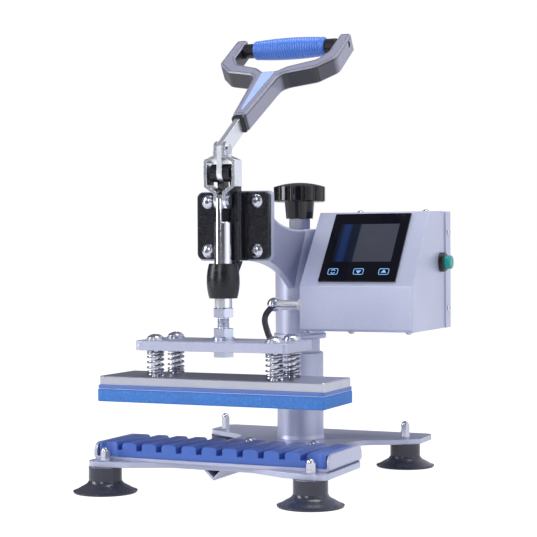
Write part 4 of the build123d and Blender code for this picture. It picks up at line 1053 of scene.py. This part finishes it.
def pale_floor():
    bm = bmesh.new()
    bmesh.ops.create_grid(bm, x_segments=1, y_segments=1, size=FLOOR_HALF)
    mesh = bpy.data.meshes.new("floor")
    bm.to_mesh(mesh)
    bm.free()
    floor = bpy.data.objects.new("floor", mesh)
    floor.location.z = -FLOOR_DROP
    bpy.context.scene.collection.objects.link(floor)
    material = bpy.data.materials.new("floor_white")
    paper = Nodes(material)
    matt = paper.node("ShaderNodeBsdfDiffuse", {}, {"Color": PAPER})
    glow = paper.node("ShaderNodeEmission", {}, {"Strength": PAPER_GLOW})
    share = paper.ray("Is Camera Ray") * SEEN_GLOW + paper.ray("Is Glossy Ray") * MIRRORED_GLOW
    mixed = paper.node("ShaderNodeMixShader", {}, {0: share, 1: matt, 2: glow})
    paper.node("ShaderNodeOutputMaterial", {}, {0: mixed})
    mesh.materials.append(material)
    floor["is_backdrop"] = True
    return floor


def studio_world():
    world = bpy.data.worlds.new("studio")
    bpy.context.scene.world = world
    room = Nodes(world)
    toward = room.node("ShaderNodeTexCoord", {}, {}, "Generated")
    rise = room.node("ShaderNodeSeparateXYZ", {}, {0: toward}, "Z")
    greys = room.ramp(rise * 0.5 + 0.5, ROOM_GREYS)
    sweep = room.ramp(room.dot(toward, SWEEP_WAY), SWEEP_EDGE)
    light = room.tint(sweep, greys, SWEEP_WHITE)
    studio = room.node("ShaderNodeBackground", {}, {"Color": light})
    white = room.node("ShaderNodeBackground", {}, {"Color": (1, 1, 1)})
    seen = room.ray("Is Camera Ray")
    mixed = room.node("ShaderNodeMixShader", {}, {0: seen, 1: studio, 2: white})
    room.node("ShaderNodeOutputWorld", {}, {0: mixed})
    return world


floor = pale_floor()
world = studio_world()
print("stage set with", floor.name, "and", world.name)


# %% [markdown]
# Four soft boxes light the press: a narrow strong one at the left and another in front, which
# draw crisp lines down the round rods, a wide weak one at the right and one overhead. Each is
# given by its place, its width and height and its power, and turns to the middle of the press.

# %% Lights
AIM = (0, 0, 0.2)
soft_boxes = {
    "left_box": ((-1.4, -0.9, 0.8), 0.5, 1.3, 18),
    "right_box": ((1.5, -0.5, 0.5), 1.7, 1.7, 6),
    "front_box": ((-0.1, -1.9, 0.9), 0.4, 1.2, 12),
    "top_box": ((0.3, 0.1, 1.6), 0.8, 0.8, 12),
}
for name, (place, width, height, power) in soft_boxes.items():
    data = bpy.data.lights.new(name, "AREA")
    data.shape = "RECTANGLE"
    data.size = width
    data.size_y = height
    data.energy = power
    lamp = bpy.data.objects.new(name, data)
    lamp.location = place
    lamp.rotation_mode = "QUATERNION"
    lamp.rotation_quaternion = (Vector(AIM) - Vector(place)).to_track_quat("-Z", "Y")
    bpy.context.scene.collection.objects.link(lamp)
bpy.context.scene.view_settings.view_transform = "Standard"
print("lamps", ", ".join(soft_boxes))


# %% Measure the finished scene
low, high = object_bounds()
print("visual box", [round(v, 4) for v in low], [round(v, 4) for v in high])
